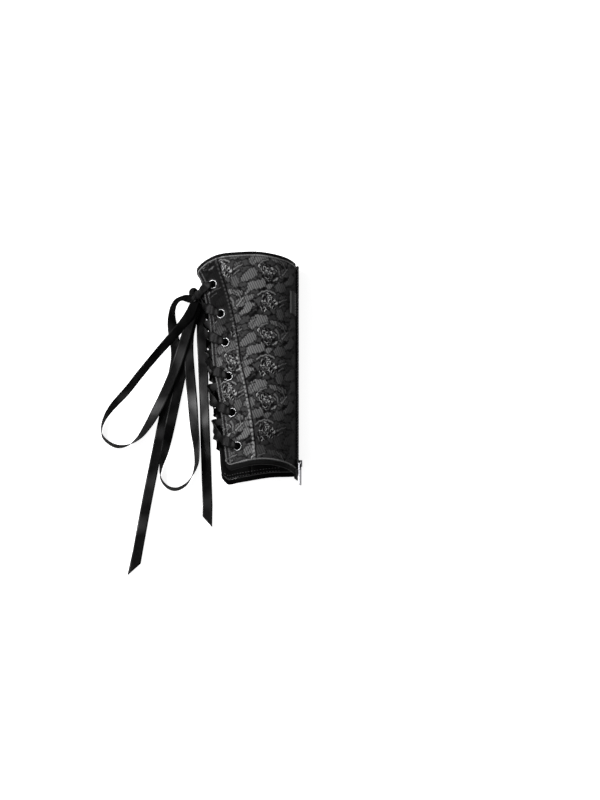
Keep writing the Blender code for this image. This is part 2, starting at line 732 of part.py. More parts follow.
def make_zip():
    wide = (ZIP_BACK - ZIP_FRONT).length - 2 * SEAM_GAP - 0.4
    tape_long = TAPE_TO - TAPE_FROM
    zip_box("zip_tape", (tape_long, wide, TAPE_THICK), (TAPE_FROM + TAPE_TO) / 2, 0.0, "tape")
    chain_out = TAPE_THICK / 2 + 0.3 + CHAIN_THICK / 2
    chain_size = (CHAIN_TO - CHAIN_FROM, CHAIN_WIDE, CHAIN_THICK)
    zip_box("zip_teeth", chain_size, (CHAIN_FROM + CHAIN_TO) / 2, chain_out, "dark_metal", 0.4)
    slider_out = TAPE_THICK / 2 + 0.3 + SLIDER_THICK / 2
    slider_size = (SLIDER_LONG, SLIDER_WIDE, SLIDER_THICK)
    slider = zip_box("zip_slider", slider_size, SLIDER_Y, slider_out, "dark_metal")
    face = slider_out + SLIDER_THICK / 2
    post = (1.2, BRIDGE_WIDE, BRIDGE_OPEN + 1.2)
    post_out = face + post[2] / 2 - 0.1
    for way in (-1, 1):
        join_block(slider, post, SLIDER_Y + way * (BRIDGE_LONG - post[0]) / 2, post_out)
    bar_out = face + BRIDGE_OPEN + 0.6
    join_block(slider, (BRIDGE_LONG, BRIDGE_WIDE, 1.2), SLIDER_Y, bar_out)
    wire_out = face + BRIDGE_OPEN / 2
    wire_y = SLIDER_Y - 0.9
    pull = zip_box("zip_pull", (PULL_WIRE, PULL_WIDE, PULL_WIRE), wire_y, wire_out, "silver")
    arm_wide = (PULL_WIDE - BRIDGE_WIDE - 1.0) / 2
    arm_long = 6.4
    for way in (-1, 1):
        arm = (arm_long, arm_wide, PULL_THICK)
        join_block(pull, arm, wire_y - arm_long / 2 + 0.5, wire_out, way * (PULL_WIDE - arm_wide) / 2)
    tab_long = PULL_LONG - arm_long
    tab_y = wire_y - arm_long - tab_long / 2 + 1.0
    join_block(pull, (tab_long, PULL_WIDE, PULL_THICK), tab_y, wire_out)


# Label tab: a plain folded tab stitched to the front panel beside the zip

def make_label():
    low_y, high_y = 47.0, 70.5
    grid = []
    for i in range(4):
        y = low_y + (high_y - low_y) * i / 3
        edge_share = 0.985
        inner_share = share_at("front", 41.0, y)
        shares = [inner_share + (edge_share - inner_share) * j / 5 for j in range(6)]
        grid.append([off_wall("front", share, y, 0.9) for share in shares])
    sheet_object("label_tab", grid, 0.8, "tape")


clear_scene()
PARTS = make_collection("lace_cuff")
CUTTERS = make_collection("cutters")
MATERIAL = make_materials()
for wall_side in ("front", "back"):
    make_panels(wall_side)
    make_eyelets(wall_side)
make_lacing()
make_bow()
make_zip()
make_label()
for shifted in list(PARTS.objects) + list(CUTTERS.objects):
    shifted.location += Vector(ORIGIN_SHIFT) * MM
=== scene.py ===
import math

import bpy
import numpy as np
from mathutils import Matrix, Vector


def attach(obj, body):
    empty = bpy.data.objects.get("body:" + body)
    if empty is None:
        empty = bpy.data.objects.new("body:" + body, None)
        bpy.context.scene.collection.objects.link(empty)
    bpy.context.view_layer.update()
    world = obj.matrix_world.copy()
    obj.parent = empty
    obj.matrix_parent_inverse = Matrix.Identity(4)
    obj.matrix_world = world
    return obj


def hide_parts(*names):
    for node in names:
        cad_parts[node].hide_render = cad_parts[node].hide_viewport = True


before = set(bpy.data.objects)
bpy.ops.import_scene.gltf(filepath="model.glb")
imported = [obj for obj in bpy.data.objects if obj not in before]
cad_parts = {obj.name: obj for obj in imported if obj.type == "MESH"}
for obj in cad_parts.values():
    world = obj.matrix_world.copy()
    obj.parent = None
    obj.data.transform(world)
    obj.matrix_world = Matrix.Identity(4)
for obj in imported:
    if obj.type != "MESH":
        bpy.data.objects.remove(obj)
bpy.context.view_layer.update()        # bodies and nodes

mm = 0.001
shift = np.array((2.1, 10.5, 0.0))       # the tables below are in mm, before the move to the origin
rng = np.random.default_rng(7)


# camera, light and world

cameraSet = {"lens": 400, "sensor": 36, "elevation": 72, "target": (54.1, -24.2, 0), "viewWidth": 600}
lightSet = {
    "key": {"at": (-0.66, 0.22, 0.60), "size": 0.42, "power": 10.5},
    "fill": {"at": (-0.45, -1.1, 0.9), "size": 0.8, "power": 2.2},
}
worldStrength = 0.15


def addObject(name, data):
    obj = bpy.data.objects.new(name, data)
    bpy.context.scene.collection.objects.link(obj)
    return obj


def aim(obj, at, target):
    obj.location = at
    obj.rotation_euler = (Vector(target) - Vector(at)).to_track_quat("-Z", "Y").to_euler()


def makeCamera():
    data = bpy.data.cameras.new("camera")
    data.lens = cameraSet["lens"]
    data.sensor_width = cameraSet["sensor"]
    data.sensor_fit = "HORIZONTAL"
    data.clip_end = 100.0
    distance = cameraSet["viewWidth"] * mm * cameraSet["lens"] / cameraSet["sensor"]
    tilt = math.radians(cameraSet["elevation"])
    target = Vector(cameraSet["target"]) * mm
    camera = addObject("camera", data)
    aim(camera, target + Vector((0, -math.cos(tilt), math.sin(tilt))) * distance, target)
    bpy.context.scene.camera = camera


def makeLight(name, at, size, power):
    data = bpy.data.lights.new(name, "AREA")
    data.size = size
    data.energy = power
    aim(addObject(name, data), at, (0, 0, 0))


def makeWorld():
    world = bpy.data.worlds.new("studio")
    world.use_nodes = True
    background = world.node_tree.nodes["Background"].inputs
    background["Color"].default_value = (1, 1, 1, 1)
    background["Strength"].default_value = worldStrength
    bpy.context.scene.world = world
    bpy.context.scene.view_settings.view_transform = "Standard"


makeCamera()
for lightName, values in lightSet.items():
    makeLight(lightName, **values)
makeWorld()
print("camera and light are set")


# node helpers and the shared effects

def addNode(tree, kind, values, **settings):
    made = tree.nodes.new("ShaderNode" + kind)
    for name, value in settings.items():
        setattr(made, name, value)
    for socket, value in values.items():
        if isinstance(value, bpy.types.NodeSocket):
            tree.links.new(value, made.inputs[socket])
        else:
            made.inputs[socket].default_value = value
    return made.outputs


def mathNode(tree, operation, a, b=0.0, c=0.0):
    return addNode(tree, "Math", {0: a, 1: b, 2: c}, operation=operation)[0]


def mixColour(tree, share, a, b):
    return addNode(tree, "Mix", {0: share, 6: a, 7: b}, data_type="RGBA")[2]


def noiseNode(tree, place, scale, detail):
    return addNode(tree, "TexNoise", {"Vector": place, "Scale": scale, "Detail": detail})["Fac"]


def rangeNode(tree, value, low, high, toLow=0.0, toHigh=1.0):
    ends = {"From Min": low, "From Max": high, "To Min": toLow, "To Max": toHigh}
    return addNode(tree, "MapRange", {"Value": value, **ends})[0]


def makeGroup(name, inputs, outputs):
    tree = bpy.data.node_groups.new(name, "ShaderNodeTree")
    for way, labels in (("INPUT", inputs), ("OUTPUT", outputs)):
        for label in labels:
            kind = "NodeSocketVector" if label == "Vector" else "NodeSocketFloat"
            tree.interface.new_socket(label, in_out=way, socket_type=kind)
    given, made = tree.nodes.new("NodeGroupInput").outputs, tree.nodes.new("NodeGroupOutput").inputs
    place = addNode(tree, "SeparateXYZ", {0: given["Vector"]})
    return tree, given, made, place["X"], place["Y"]


def makeNettingGroup():
    tree, given, made, x, y = makeGroup("netting", ("Vector", "Pitch"), ("Threads",))
    lines = []
    for tilt, strength in ((24.0, 1.0), (-58.0, 0.55)):
        turn = math.radians(tilt)
        along = mathNode(tree, "MULTIPLY", x, math.cos(turn))
        along = mathNode(tree, "MULTIPLY_ADD", y, math.sin(turn), along)
        along = mathNode(tree, "DIVIDE", along, given["Pitch"])
        wave = mathNode(tree, "PINGPONG", along, 0.5)
        wave = mathNode(tree, "MULTIPLY", wave, 2.0 * strength)
        lines.append(mathNode(tree, "POWER", wave, 1.6))
    tree.links.new(mathNode(tree, "MAXIMUM", *lines), made["Threads"])
    return tree


def makeWeaveGroup():
    tree, given, made, x, y = makeGroup("fineWeave", ("Vector", "Warp", "Weft"), ("Threads", "Mottle"))
    warp = mathNode(tree, "PINGPONG", mathNode(tree, "MULTIPLY", x, given["Warp"]), 0.5)
    weft = mathNode(tree, "PINGPONG", mathNode(tree, "MULTIPLY", y, given["Weft"]), 0.5)
    tree.links.new(mathNode(tree, "ADD", warp, weft), made["Threads"])
    tree.links.new(noiseNode(tree, given["Vector"], 0.35, 4.0), made["Mottle"])
    return tree


netting = makeNettingGroup()
fineWeave = makeWeaveGroup()


def newMaterial(name, **constants):
    material = bpy.data.materials.new(name)
    material.use_nodes = True
    shader = material.node_tree.nodes["Principled BSDF"].inputs
    for socket, value in constants.items():
        shader[socket.replace("_", " ")].default_value = value
    return material, material.node_tree, shader


def clothPlace(tree):
    return addNode(tree, "UVMap", {}, uv_map="cloth")["UV"]


def clothEffect(tree, group, **values):
    return addNode(tree, "Group", {"Vector": clothPlace(tree), **values}, node_tree=group)


def clothMasks(tree):
    masks = addNode(tree, "Attribute", {}, attribute_name="lace")
    parts = addNode(tree, "SeparateColor", {0: masks["Color"]})
    return parts[0], parts[1], parts[2], masks["Alpha"]


def bumpInto(tree, shader, height, distance):
    bump = addNode(tree, "Bump", {"Height": height, "Distance": distance})
    tree.links.new(bump["Normal"], shader["Normal"])


# materials

def tone(red, green=None, blue=None):
    return (red, red if green is None else green, red if blue is None else blue, 1)


laceLook = {
    "ground": tone(0.0150, 0.0148),
    "groundLight": tone(0.0360, 0.0357, 0.0362),
    "leaf": tone(0.0640, 0.0636, 0.0642),
    "netGap": tone(0.066, 0.0655, 0.0662),
    "netThread": tone(0.230, 0.229, 0.2305),
    # curl: the pale thread, also used to paint the highlights on the welt and beside the bindings
    "curl": tone(0.420, 0.419, 0.421),
    # outline: the dark cord, also used to paint shade in grooves, beside stems and petal rings, and toward the
    # zip, the hem and the eyelet panel's top
    "outline": tone(0.0020, 0.0019),
    "netPitch": 2.2,
}


def makeLaceMaterial():
    material, tree, shader = newMaterial("blackLace", Roughness=0.75, IOR=1.12)
    net, curl, outline, leaf = clothMasks(tree)
    threads = clothEffect(tree, netting, Pitch=laceLook["netPitch"])["Threads"]
    weave = clothEffect(tree, fineWeave, Warp=1.9, Weft=1.9)
    mottle = rangeNode(tree, weave["Mottle"], 0.35, 0.68)
    ground = mixColour(tree, mottle, laceLook["ground"], laceLook["groundLight"])
    ground = mixColour(tree, leaf, ground, laceLook["leaf"])
    netColour = mixColour(tree, threads, laceLook["netGap"], laceLook["netThread"])
    colour = mixColour(tree, net, ground, netColour)
    colour = mixColour(tree, outline, colour, laceLook["outline"])
    tree.links.new(mixColour(tree, curl, colour, laceLook["curl"]), shader["Base Color"])
    height = mathNode(tree, "MULTIPLY", threads, net)
    height = mathNode(tree, "MULTIPLY_ADD", weave["Threads"], 0.35, height)
    bumpInto(tree, shader, height, 0.00016)
    return material


def makeClothMaterial(
    name, light, dark, roughness, warp, weft, depth, ior=1.2, rim=None, sheen=None, gloss=0.0
):
    # a gloss tinted dark at its edge keeps a ribbon black where it stands on the bright table
    material, tree, shader = newMaterial(name, IOR=ior, Metallic=gloss)
    if gloss:
        shader["Specular Tint"].default_value = tone(0.0)
    weave = clothEffect(tree, fineWeave, Warp=warp, Weft=weft)
    colour = mixColour(tree, weave["Mottle"], dark, light)
    if sheen:
        # wide soft bands of light, as satin has where it turns
        bands = rangeNode(tree, noiseNode(tree, clothPlace(tree), 0.03, 1.0), 0.48, 0.78)
        colour = mixColour(tree, bands, colour, sheen)
    if rim:
        colour = mixColour(tree, clothMasks(tree)[1], colour, rim)
    tree.links.new(colour, shader["Base Color"])
    rough = rangeNode(tree, weave["Mottle"], 0.0, 1.0, roughness - 0.05, roughness + 0.06)
    tree.links.new(rough, shader["Roughness"])
    bumpInto(tree, shader, weave["Threads"], depth)
    return material


def makeMetalMaterial(name, colour, roughness, scratch):
    material, tree, shader = newMaterial(name, Metallic=1.0)
    noise = noiseNode(tree, addNode(tree, "TexCoord", {})["Object"], 420.0, 5.0)
    tree.links.new(rangeNode(tree, noise, 0.0, 1.0, roughness - 0.06, roughness + 0.10), shader["Roughness"])
    worn = tone(*(0.8 * part for part in colour[:3]))
    tree.links.new(mixColour(tree, noise, colour, worn), shader["Base Color"])
    bumpInto(tree, shader, noise, scratch)
    return material


def makeFloorMaterial():
    # a lit white table: it glows a little of its own
    material, tree, shader = newMaterial(
        "paleFloor", Roughness=0.9, Specular_IOR_Level=0.0, Emission_Color=tone(1), Emission_Strength=0.85
    )
    noise = noiseNode(tree, addNode(tree, "TexCoord", {})["Object"], 3.0, 2.0)
    tree.links.new(mixColour(tree, noise, tone(0.90), tone(0.93)), shader["Base Color"])
    return material


look = {
    "lace": makeLaceMaterial(),
    "lining": makeClothMaterial("satinLining", tone(0.012), tone(0.004), 0.6, 2.6, 2.6, 0.00006, 1.15),
    "binding": makeClothMaterial("foldedEdge", tone(0.006), tone(0.0015), 0.55, 1.9, 1.9, 0.00014, 1.13),
    "ribbon": makeClothMaterial(
        "satinRibbon", tone(0.0140, 0.0138), tone(0.0055), 0.44, 0.4, 2.2, 0.000016, 1.12,
        sheen=tone(0.054, 0.0535), gloss=0.72
    ),
    "tape": makeClothMaterial(
        "zipTape", tone(0.014, 0.014, 0.015), tone(0.006, 0.006, 0.007), 0.8, 1.2, 2.4, 0.00012
    ),
    "label": makeClothMaterial("wovenTab", tone(0.007), tone(0.002), 0.6, 2.4, 1.2, 0.00010, rim=tone(0.17)),
    "thread": makeClothMaterial(
        "stitchThread", tone(0.200, 0.200, 0.202), tone(0.100, 0.100, 0.101), 0.45, 3.0, 0.5, 0.00005
    ),
    "silver": makeMetalMaterial("silverMetal", tone(0.50, 0.50, 0.51), 0.28, 0.00002),
    "pull": makeMetalMaterial("wornSteel", tone(0.20, 0.20, 0.21), 0.30, 0.00002),
    "black": makeMetalMaterial("blackMetal", tone(0.030, 0.030, 0.032), 0.42, 0.00003),
    "floor": makeFloorMaterial(),
}
print("materials are made")


# mesh helpers: tables are in mm

def toWorld(points):
    return (np.asarray(points, float) + shift) * mm


def fixNormals(mesh):
    mesh.calc_loop_triangles()
    points = np.empty(len(mesh.vertices) * 3)
    mesh.vertices.foreach_get("co", points)
    corners = np.empty(len(mesh.loop_triangles) * 3, np.int32)
    mesh.loop_triangles.foreach_get("vertices", corners)
    a, b, c = points.reshape(-1, 3)[corners.reshape(-1, 3)].transpose(1, 0, 2)
    if np.einsum("ij,ij->i", a, np.cross(b, c)).sum() < 0:
        mesh.flip_normals()


def meshObject(
    name, points, faces, materials=(), uv=None, masks=None, slots=None, inWorld=False, closed=True
):
    mesh = bpy.data.meshes.new(name)
    mesh.from_pydata(points if inWorld else toWorld(points).tolist(), [], faces)
    mesh.shade_smooth()
    for material in materials:
        mesh.materials.append(look[material])
    if slots is not None:
        mesh.polygons.foreach_set("material_index", np.asarray(slots, np.int32))
    if uv is not None:
        corners = np.empty(len(mesh.loops), np.int32)
        mesh.loops.foreach_get("vertex_index", corners)
        layer = mesh.uv_layers.new(name="cloth")
        layer.data.foreach_set("uv", np.asarray(uv, np.float32)[corners].ravel())
    if masks is not None:
        layer = mesh.color_attributes.new("lace", "FLOAT_COLOR", "POINT")
        layer.data.foreach_set("color", np.asarray(masks, np.float32).ravel())
    if closed:
        fixNormals(mesh)
    return addObject(name, mesh)


def gridFaces(rows, columns, start=0, flip=False):
    i, j = np.meshgrid(np.arange(rows - 1), np.arange(columns - 1), indexing="ij")
    a = start + i * columns + j
    faces = np.stack([a, a + 1, a + columns + 1, a + columns], axis=-1).reshape(-1, 4)
    return (faces[:, ::-1] if flip else faces).tolist()


def loftFaces(rings, count, start=0, ringed=False):
    i, j = np.meshgrid(np.arange(rings if ringed else rings - 1), np.arange(count), indexing="ij")
    low, high, after = start + i * count, start + (i + 1) % rings * count, (j + 1) % count
    return np.stack([low + j, low + after, high + after, high + j], axis=-1).reshape(-1, 4).tolist()


def tubeFaces(rings, count, start=0):
    first, last = range(start, start + count), range(start + (rings - 1) * count, start + rings * count)
    return loftFaces(rings, count, start) + [list(first)[::-1], list(last)]


def loftObject(name, rings, material, uv, ringed=False):
    count, around = rings.shape[:2]
    faces = loftFaces(count, around, ringed=True) if ringed else tubeFaces(count, around)
    return meshObject(name, rings.reshape(-1, 3), faces, (material,), np.reshape(uv, (-1, 2)))


def unit(vectors):
    return vectors / np.linalg.norm(vectors, axis=-1, keepdims=True)


def lengthAlong(points):
    return np.concatenate([[0.0], np.cumsum(np.linalg.norm(np.diff(points, axis=0), axis=1))])


def smoothRead(places, values, at):
    places, values = np.asarray(places, float), np.asarray(values, float)
    slopes = np.gradient(values, places)
    at = np.clip(np.asarray(at, float), places[0], places[-1])
    k = np.clip(np.searchsorted(places, at, side="right") - 1, 0, len(places) - 2)
    span = places[k + 1] - places[k]
    t = (at - places[k]) / span
    return (
        (2 * t**3 - 3 * t**2 + 1) * values[k] + (t**3 - 2 * t**2 + t) * span * slopes[k]
        + (3 * t**2 - 2 * t**3) * values[k + 1] + (t**3 - t**2) * span * slopes[k + 1]
    )


def blendGrid(grid, rows, columns, a, b):
    (i, nextI), (j, nextJ) = rows, columns
    a, b = a[..., None], b[..., None]
    low = grid[i, j] * (1 - b) + grid[i, nextJ] * b
    return low * (1 - a) + (grid[nextI, j] * (1 - b) + grid[nextI, nextJ] * b) * a


def ramp(value, start, span):
    return np.clip((value - start) / span, 0, 1)


def bell(value, at, width):
    return np.exp(-((value - at) / width)**2)


def finish(obj, slot, *nodes):
    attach(obj, "cuff")
    if nodes:
        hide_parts(*nodes)
    return obj


floorPoints = [(-4, -4, -0.0004), (4, -4, -0.0004), (4, 4, -0.0004), (-4, 4, -0.0004)]
floor = meshObject("floor", floorPoints, [(0, 1, 2, 3)], ("floor",), inWorld=True, closed=False)


# bow: two loops and two tails lie on the table

bow = {
    "thickness": 0.55,
    "spacing": 1.3,
    "across": 8,
    # x, y, z, lean about the run in degrees, width
    "loopLong": (
        (-51.4, 68.6, 10.6, 5, 7.5), (-54.2, 62.6, 10.4, 8, 9), (-57.2, 55.2, 9.4, 15, 10),
        (-64, 44.6, 8, 28, 10), (-75.2, 31, 6.8, 40, 10), (-88, 16.2, 5.4, 50, 10),
        (-107, -7.7, 4.9, 55, 10), (-122.5, -28.3, 4.9, 56, 10), (-129.5, -36.3, 5, 60, 10),
        (-136.8, -45.3, 5.3, 68, 10), (-142.6, -54.9, 5.5, 80, 10), (-145.9, -65.2, 5.6, 88, 10),
        (-145.5, -73.3, 5.6, 90, 10), (-139.8, -80.4, 5.6, 91, 10), (-130.1, -85.1, 5.6, 90, 10),
        (-120.4, -84.2, 5.5, 80, 10), (-109.5, -76.7, 4.9, 58, 10), (-100.5, -64.1, 4.2, 36, 10),
        (-90.8, -46, 4.4, 14, 10), (-85, -33.7, 4.6, 8, 10), (-75.5, -10.8, 4.9, 5, 10),
        (-70.5, 3.8, 5.1, 4, 10), (-66, 18.5, 5.3, 4, 10), (-60.5, 37.3, 5.6, 4, 10), (-56, 54, 6, 4, 9),
        (-53, 64.4, 7, 4, 7),
    ),
    "loopShort": (
        (-51, 67.4, 4.6, 3, 7), (-55.4, 54.9, 2.6, 3, 9), (-59, 40.4, 1.9, 2, 10),
        (-61.5, 25.7, 1.9, 2, 10), (-64.5, 8.8, 1.9, 2, 10), (-67.7, -12.2, 2, 3, 10),
        (-72.3, -35.3, 2.6, 5, 10), (-78.5, -67.2, 3.4, 20, 10), (-83, -90.8, 4.8, 50, 10),
        (-86.7, -107.9, 5.6, 80, 10), (-87.2, -116.4, 5.6, 90, 10), (-83.5, -124, 5.6, 90, 10),
        (-77.5, -128.8, 5.6, 90, 10), (-71.5, -129.8, 5.6, 90, 10), (-62.5, -125.8, 5.6, 88, 10),
        (-55.2, -115.8, 5.6, 80, 10), (-51.1, -103.6, 5.3, 66, 10), (-50.8, -90.9, 4.9, 58, 10),
        (-53.4, -63, 3.3, 32, 10), (-55.4, -37.4, 2.1, 15, 10), (-57.3, -16.4, 2.6, 6, 10),
        (-58.7, 0.1, 3.4, 3, 10), (-59.7, 16.8, 3.6, 2, 10), (-59, 33.6, 3.6, 2, 10),
        (-54.5, 51.4, 4.2, 2, 9), (-50.2, 65.6, 5.6, 2, 7),
    ),
    "tailLong": (
        (-54, 69, 8.2, 20, 7), (-58.4, 69.4, 7.8, 34, 8), (-62.4, 70.4, 7.2, 56, 8.5),
        (-67, 70.5, 6.4, 80, 9), (-72, 67.6, 5.6, 76, 10), (-75.2, 61.4, 5.2, 64, 10),
        (-76.5, 52.8, 4.3, 48, 10), (-76.3, 44.5, 2.4, 22, 10), (-75.2, 34.8, 0.9, 3, 10),
        (-73, 22.9, 0.6, 0, 10), (-72.4, 12.4, 0.6, 0, 10), (-74.7, -6.5, 0.6, 0, 10),
        (-81, -34.9, 0.6, 0, 10), (-85.7, -62.2, 0.6, 0, 10), (-90.1, -85.4, 0.6, 0, 10),
        (-100.2, -140, 0.6, 0, 10), (-109, -192.6, 0.6, 0, 10),
    ),
    "tailShort": (
        (-47.4, 68.4, 4.6, 0, 7), (-46.9, 58.1, 1.4, 0, 8.5), (-47, 43.9, 0.6, 0, 9.5),
        (-46.5, 30.3, 0.6, 0, 10), (-45.2, 4, 1, -5, 10), (-44.2, -24, 2.3, -20, 10),
        (-43.4, -46, 2.7, -25, 10), (-42.8, -66, 2.2, -18, 10), (-41.6, -98.6, 0.8, -2, 10),
        (-40, -145.3, 0.6, 0, 10),
    ),
    # slanted ends: the corner on the right of the run, then the left one
    "cutLong": ((-119.2, -217.8), (-106, -205.5)),
    "cutShort": ((-45.1, -156.5), (-35.3, -168)),
    "curl": (
        (-54.6, 71.4, 8, 36, 6.2), (-56.8, 75, 8.4, 44, 6.6), (-56.6, 78.2, 8.8, 48, 6.6),
        (-54.6, 79.4, 9, 46, 6.4), (-53.2, 77.6, 8.6, 34, 6), (-53.4, 74.4, 7.6, 26, 5),
    ),
}


def routeRows(rows, spacing):
    rows = np.array(rows, float)
    along = lengthAlong(rows[:, :3])
    at = np.linspace(0, along[-1], max(3, round(along[-1] / spacing) + 1))
    return np.stack([smoothRead(along, column, at) for column in rows.T], axis=1), at


def runDirections(points):
    ahead = np.concatenate([points[1:], points[-1:]])
    behind = np.concatenate([points[:1], points[:-1]])
    return unit(ahead - behind)


def ribbonRings(points, wide, width, crown, settings):
    s = np.linspace(-1, 1, settings["across"])
    up = unit(np.cross(wide, runDirections(points)))[:, None]
    half = settings["thickness"] / 2 * (1 + 0.35 * np.abs(s)**8)
    lift = crown[:, None] * (1 - s**2)
    side = points[:, None] + wide[:, None] * (width[:, None] / 2 * s)[..., None]
    top, low = (side + up * (lift + way * half)[..., None] for way in (1, -1))
    return np.concatenate([top, low[:, ::-1]], axis=1)


def ribbonUv(at, width, across):
    s = np.linspace(-1, 1, across)
    u = np.concatenate([s, s[::-1]]) * width[:, None] / 2
    return np.stack([u, np.broadcast_to(at[:, None], u.shape)], axis=-1)


def lyingRibbon(name, rows, cut=None, spacing=bow["spacing"]):
    read, at = routeRows(rows, spacing)
    points, lean, width = read[:, :3], np.radians(read[:, 3:4]), read[:, 4]
    flat = unit(np.cross(runDirections(points), (0, 0, 1)))
    wide = flat * np.cos(lean) + np.array((0, 0, 1)) * np.sin(lean)
    crown = 0.12 * np.sin(at / 17) * ramp(at, 0, 20)
    rings = ribbonRings(points, wide, width, crown, bow)
    if cut:
        # eight more rings turn the square end into the slanted one
        right, left = (np.array((*corner, points[-1][2])) for corner in cut)
        line = left + (right - left) * np.linspace(0, 1, bow["across"])[:, None]
        lift = np.array((0, 0, bow["thickness"] / 2))
        last = np.concatenate([line + lift, (line - lift)[::-1]])
        share = np.linspace(0, 1, 9)[1:, None, None]
        rings = np.concatenate([rings, rings[-1] * (1 - share) + last * share])
        at = np.concatenate([at, at[-1] + np.linspace(0, 18, 9)[1:]])
        width = np.concatenate([width, np.full(8, width[-1])])
    return loftObject(name, rings, "ribbon", ribbonUv(at, width, bow["across"])), points


def lengthOf(points):
    return float(lengthAlong(points)[-1]) * mm


def declareRibbon(obj, path, cut=None):
    if cut:
        near, far = sorted(cut, key=lambda corner: math.dist(corner, path[-1][:2]))
        tip = (0.4 * near[0] + 0.6 * far[0], 0.4 * near[1] + 0.6 * far[1], path[-1][2])
        path = np.concatenate([path, [tip]])
    world = toWorld(path)
    lengthOf(path)


for form, farEnd in (("loop", "object"), ("tail", "bare")):
    for size in ("Long", "Short"):
        cut = bow["cut" + size] if form == "tail" else None
        piece, centre = lyingRibbon("ribbon" + form.title() + size, bow[form + size], cut)
        finish(piece, "satin", f"bow_{form}_{size.lower()}")
        declareRibbon(piece, centre, cut)
        print(piece.name, "is", round(lengthOf(centre), 3), "m")


# the two walls of the cuff, as the middle of the cloth

wall = {
    "thickness": 2,
    "y": (-127, -115, -94, -73, -50, -30, -6, 18, 42, 62, 81, 92, 107),
    "laceX": (-20.6, -21, -23, -25, -27.7, -30.5, -35, -36.8, -39, -43.3, -47.3, -52.6, -57.5),
    "laceZ": (21.5, 22, 23, 24, 25, 26, 26.5, 27, 27.5, 28, 28.5, 28, 27.5),
    "shoulder": (12, 12, 12.5, 13, 13.5, 14, 14.5, 15, 15.5, 16, 16, 16.5, 17),
    "crown": (26.5, 27, 28, 29.5, 31, 32, 33.5, 35, 36, 37, 38, 38.5, 39),
    "seamX": (10, 9.3, 7.4, 5.2, 1.6, -2, -7.2, -10.3, -14.8, -19.5, -25, -28.2, -31.5),
    "backLaceX": (-23.8, -26.2, -28, -30, -32, -34.5, -37.3, -39.5, -39.5, -41.5, -45, -46, -47),
    "backLaceZ": 12,
    "backRise": 30,
    "backMid": 1,
    "zipFront": (46.6, 18.5),
    "zipBack": (49.4, 11.3),
    "topEdge": (
        (0, 92.5), (0.08, 98.5), (0.21, 104.8), (0.46, 107.3), (0.56, 107.6), (0.78, 105.8), (1, 103.2),
    ),
    "frontHem": ((0, -116.8), (0.5, -113), (1, -118)),
    "backHem": (
        (0, -126.6), (0.08, -126.2), (0.22, -122.4), (0.43, -118.6), (0.6, -116.4), (0.78, -115.8),
        (1, -116.5),
    ),
    # each end's corner at the lacing: its radius, and the rough length of that end
    "corner": {"top": (4, 105), "hem": (6, 75)},
    "hemBand": 5,
    "topBand": 3,
    "gap": 0.3,
    "levels": np.arange(-132, 112.1, 2),
    "columns": 200,
}


def bezierLine(a, b, c, d, count):
    t = np.linspace(0, 1, count + 1)[:, None]
    a, b, c, d = (np.asarray(p, float) for p in (a, b, c, d))
    return a * (1 - t)**3 + b * 3 * t * (1 - t)**2 + c * 3 * t**2 * (1 - t) + d * t**3


def wallRead(key, y):
    return float(smoothRead(wall["y"], wall[key], y))


def sectionLine(side, y):
    zipFront, zipBack = np.array(wall["zipFront"]), np.array(wall["zipBack"])
    if side == "front":
        start = np.array((wallRead("laceX", y), wallRead("laceZ", y)))
        shoulder = start + (0.3 * (zipFront[0] - start[0]), wallRead("shoulder", y))
        slope = unit(zipBack - zipFront)
        return bezierLine(start, shoulder, zipFront - wallRead("crown", y) * slope, zipFront, 60)
    start = np.array((wallRead("backLaceX", y), wall["backLaceZ"]))
    flat = np.array((start[0] + wall["backRise"], wall["backMid"]))
    rise = bezierLine(start, start + (9, -5), flat - (13, 0), flat, 24)
    turn = bezierLine((35, wall["backMid"]), (46.5, wall["backMid"]), (51.6, 5.2), zipBack, 24)
    return np.concatenate([rise, turn])


def readWall(side):
    grid, arcs, seams = [], [], []
    for level in wall["levels"]:
        line = sectionLine(side, level)
        arc = lengthAlong(line)
        places = np.linspace(0, 1, wall["columns"] + 1) * arc[-1]
        grid.append(np.stack([np.interp(places, arc, values) for values in line.T], axis=-1))
        seamAt = wallRead("seamX", level)
        if side == "back":
            seamAt = seamAt + wallRead("backLaceX", level) - wallRead("laceX", level)
        rising = int(np.argmax(line[:, 0])) + 1
        seams.append(np.interp(seamAt, line[:rising, 0], arc[:rising]) / arc[-1])
        arcs.append(arc[-1])
    return {"grid": np.array(grid), "arc": np.array(arcs), "seam": np.array(seams)}


wallShape = {sideName: readWall(sideName) for sideName in ("front", "back")}


def wallPoint(side, share, y):
    share, y = np.broadcast_arrays(np.asarray(share, float), np.asarray(y, float))
    row = np.clip((y - wall["levels"][0]) / 2, 0, len(wall["levels"]) - 1.001)
    column = np.clip(share, 0, 1) * wall["columns"] * 0.999999
    i, j = row.astype(int), column.astype(int)
    made = blendGrid(wallShape[side]["grid"], (i, i + 1), (j, j + 1), row - i, column - j)
    return np.stack([made[..., 0], y, made[..., 1]], axis=-1)


def wallNormal(side, share, y):
    share, y = np.asarray(share, float), np.asarray(y, float)
    across = wallPoint(side, share + 0.012, y) - wallPoint(side, share - 0.012, y)
    along = wallPoint(side, share, y + 2) - wallPoint(side, share, y - 2)
    return unit(np.cross(across, along)) * (1 if side == "front" else -1)


def arcLength(side, y):
    return np.interp(y, wall["levels"], wallShape[side]["arc"])


def seamShare(side, y):
    return np.interp(y, wall["levels"], wallShape[side]["seam"])


def shareAt(side, x, y):
    row = int(np.clip(round((y - wall["levels"][0]) / 2), 0, len(wall["levels"]) - 1))
    line = wallShape[side]["grid"][row, :, 0]
    rising = int(np.argmax(line)) + 1
    return float(np.interp(x, line[:rising], np.linspace(0, 1, len(line))[:rising]))


